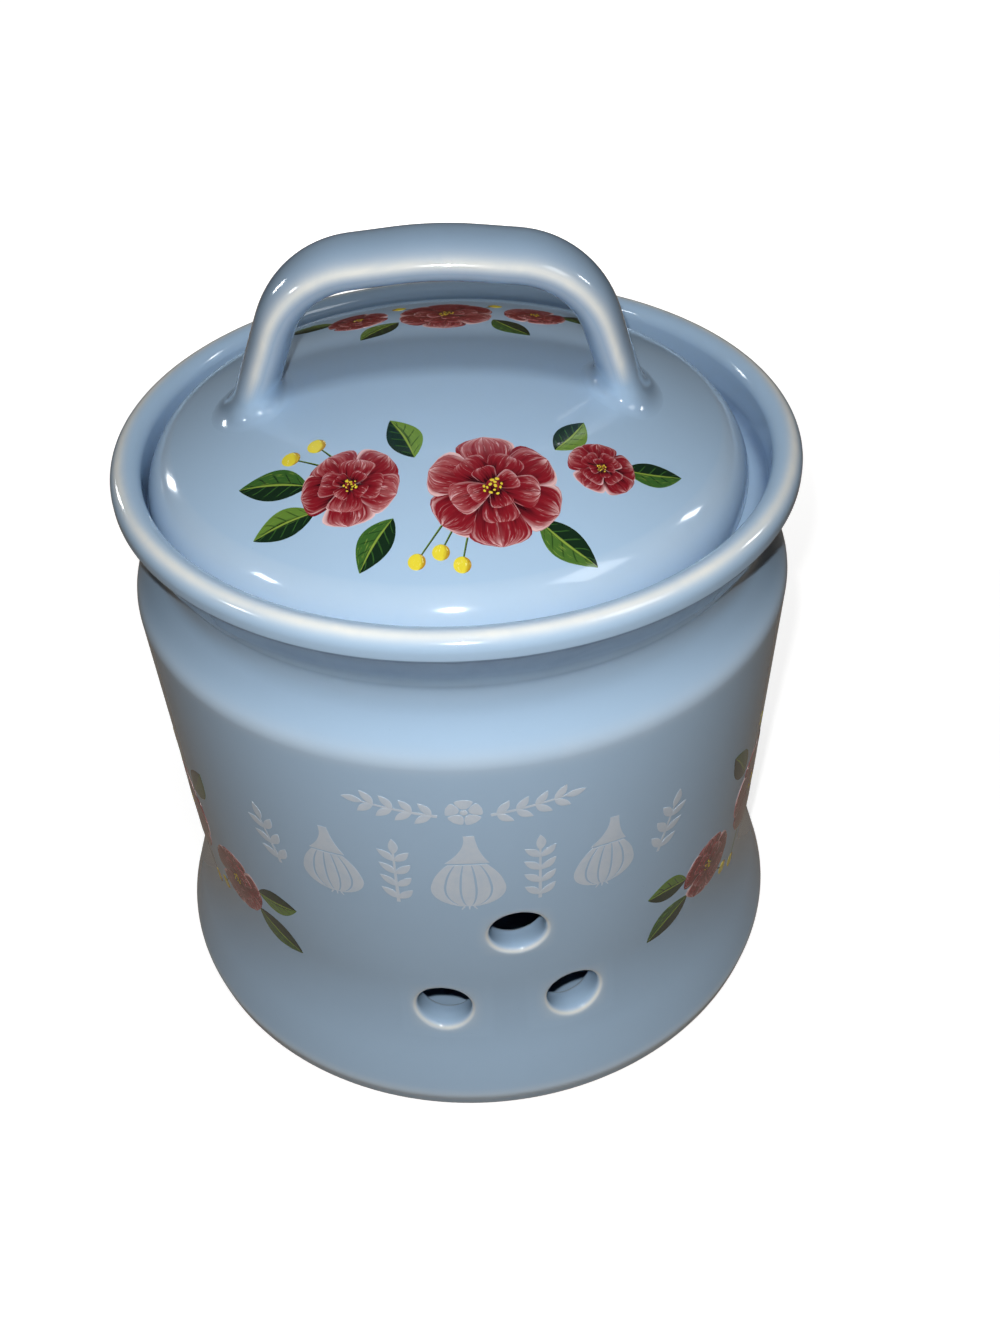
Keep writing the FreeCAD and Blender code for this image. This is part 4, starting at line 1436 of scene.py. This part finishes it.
# ---- operators -----------------------------------------------------------------------------
class KEEPER_OT_jar(bpy.types.Operator):
    """Footed jar with a rolled rim and three open vents"""

    bl_idname = "keeper.jar"
    bl_label = "Jar"

    def execute(self, context):
        shown(jar_mesh(context.scene.keeper), "jar_glazed", "jar_body", "blue_glaze", *JAR_NODES)
        return {"FINISHED"}


class KEEPER_OT_lid(bpy.types.Operator):
    """Domed lid with its seat and locating flange"""

    bl_idname = "keeper.lid"
    bl_label = "Lid"

    def execute(self, context):
        shown(lid_mesh(context.scene.keeper), "lid_glazed", "lid_body", "blue_glaze", "lid")
        return {"FINISHED"}


class KEEPER_OT_handle(bpy.types.Operator):
    """Strap handle worked into the dome at both feet"""

    bl_idname = "keeper.handle"
    bl_label = "Handle"

    def execute(self, context):
        shown(handle_mesh(context.scene.keeper), "handle_glazed", "lid_body", "blue_glaze", "lid_handle")
        return {"FINISHED"}


def add_spray(settings, name, body, motifs, over):
    """Draws a spray and shows it in place of the CAD print of that name."""
    drawing = Drawing(settings)
    draw_spray(drawing, motifs)
    shown(drawing.lay(name + "_paint", over), name + "_paint", body, "flower_print", name)


class KEEPER_OT_lid_prints(bpy.types.Operator):
    """Flower sprays on the front and rear of the lid"""

    bl_idname = "keeper.lid_prints"
    bl_label = "Lid prints"

    def execute(self, context):
        settings = context.scene.keeper
        add_spray(settings, "lid_front_print", "lid_body", LID_SPRAY, over_dome(settings, *LID_FRONT))
        add_spray(settings, "lid_rear_print", "lid_body", REAR_SPRAY, over_dome(settings, *LID_REAR))
        return {"FINISHED"}


class KEEPER_OT_side_prints(bpy.types.Operator):
    """Flower sprays on both sides of the jar"""

    bl_idname = "keeper.side_prints"
    bl_label = "Side prints"

    def execute(self, context):
        settings = context.scene.keeper
        mirrored = tuple((kind, size, -x, y, -turn) for kind, size, x, y, turn in SIDE_SPRAY)
        add_spray(settings, "jar_left_print", "jar_body", mirrored, over_wall(settings, *JAR_LEFT))
        add_spray(settings, "jar_right_print", "jar_body", SIDE_SPRAY, over_wall(settings, *JAR_RIGHT))
        return {"FINISHED"}


class KEEPER_OT_frieze(bpy.types.Operator):
    """Pale frieze of bulbs and sprigs with a garland over it"""

    bl_idname = "keeper.frieze"
    bl_label = "Frieze"

    def execute(self, context):
        settings = context.scene.keeper
        drawing = Drawing(settings)
        for size, *place in BULBS:
            draw_bulb(drawing, size, flat_place(*place))
        for height, *place in SPRIGS:
            draw_sprig(drawing, height, flat_place(*place))
        draw_pale_flower(drawing, GARLAND_FLOWER, flat_place(0, GARLAND_RISE))
        for height, *place in GARLAND_SPRIGS:
            draw_sprig(drawing, height, flat_place(*place))
        mesh = drawing.lay("jar_front_print_paint", over_wall(settings, *JAR_FRONT))
        shown(mesh, "jar_front_print_paint", "jar_body", "pale_print", "jar_front_print")
        return {"FINISHED"}


class KEEPER_OT_stage(bpy.types.Operator):
    """Pale floor, soft studio light and the camera"""

    bl_idname = "keeper.stage"
    bl_label = "Stage"

    def execute(self, context):
        settings = context.scene.keeper
        build_floor(settings)
        build_world()
        build_lights(settings)
        build_camera()
        bpy.context.scene.view_settings.view_transform = "Standard"
        return {"FINISHED"}


OPERATORS = (
    KEEPER_OT_jar, KEEPER_OT_lid, KEEPER_OT_handle, KEEPER_OT_lid_prints, KEEPER_OT_side_prints,
    KEEPER_OT_frieze, KEEPER_OT_stage,
)


class KEEPER_PT_panel(bpy.types.Panel):
    """Lists the keeper's pieces"""

    bl_idname = "KEEPER_PT_panel"
    bl_label = "Garlic Keeper"
    bl_space_type = "VIEW_3D"
    bl_region_type = "UI"
    bl_category = "Keeper"

    def draw(self, context):
        for operator in OPERATORS:
            self.layout.operator(operator.bl_idname)


CLASSES = (
    JarSettings, LidSettings, HandleSettings, GlazeSettings, PrintSettings, StageSettings, KeeperSettings,
    *OPERATORS, KEEPER_PT_panel,
)


def register():
    for cls in CLASSES:
        bpy.utils.register_class(cls)
    bpy.types.Scene.keeper = PointerProperty(type=KeeperSettings)


def unregister():
    del bpy.types.Scene.keeper
    for cls in reversed(CLASSES):
        bpy.utils.unregister_class(cls)


def main():
    register()
    bpy.ops.keeper.jar()
    bpy.ops.keeper.lid()
    bpy.ops.keeper.handle()
    bpy.ops.keeper.lid_prints()
    bpy.ops.keeper.side_prints()
    bpy.ops.keeper.frieze()
    bpy.ops.keeper.stage()


if __name__ == "__main__":
    main()
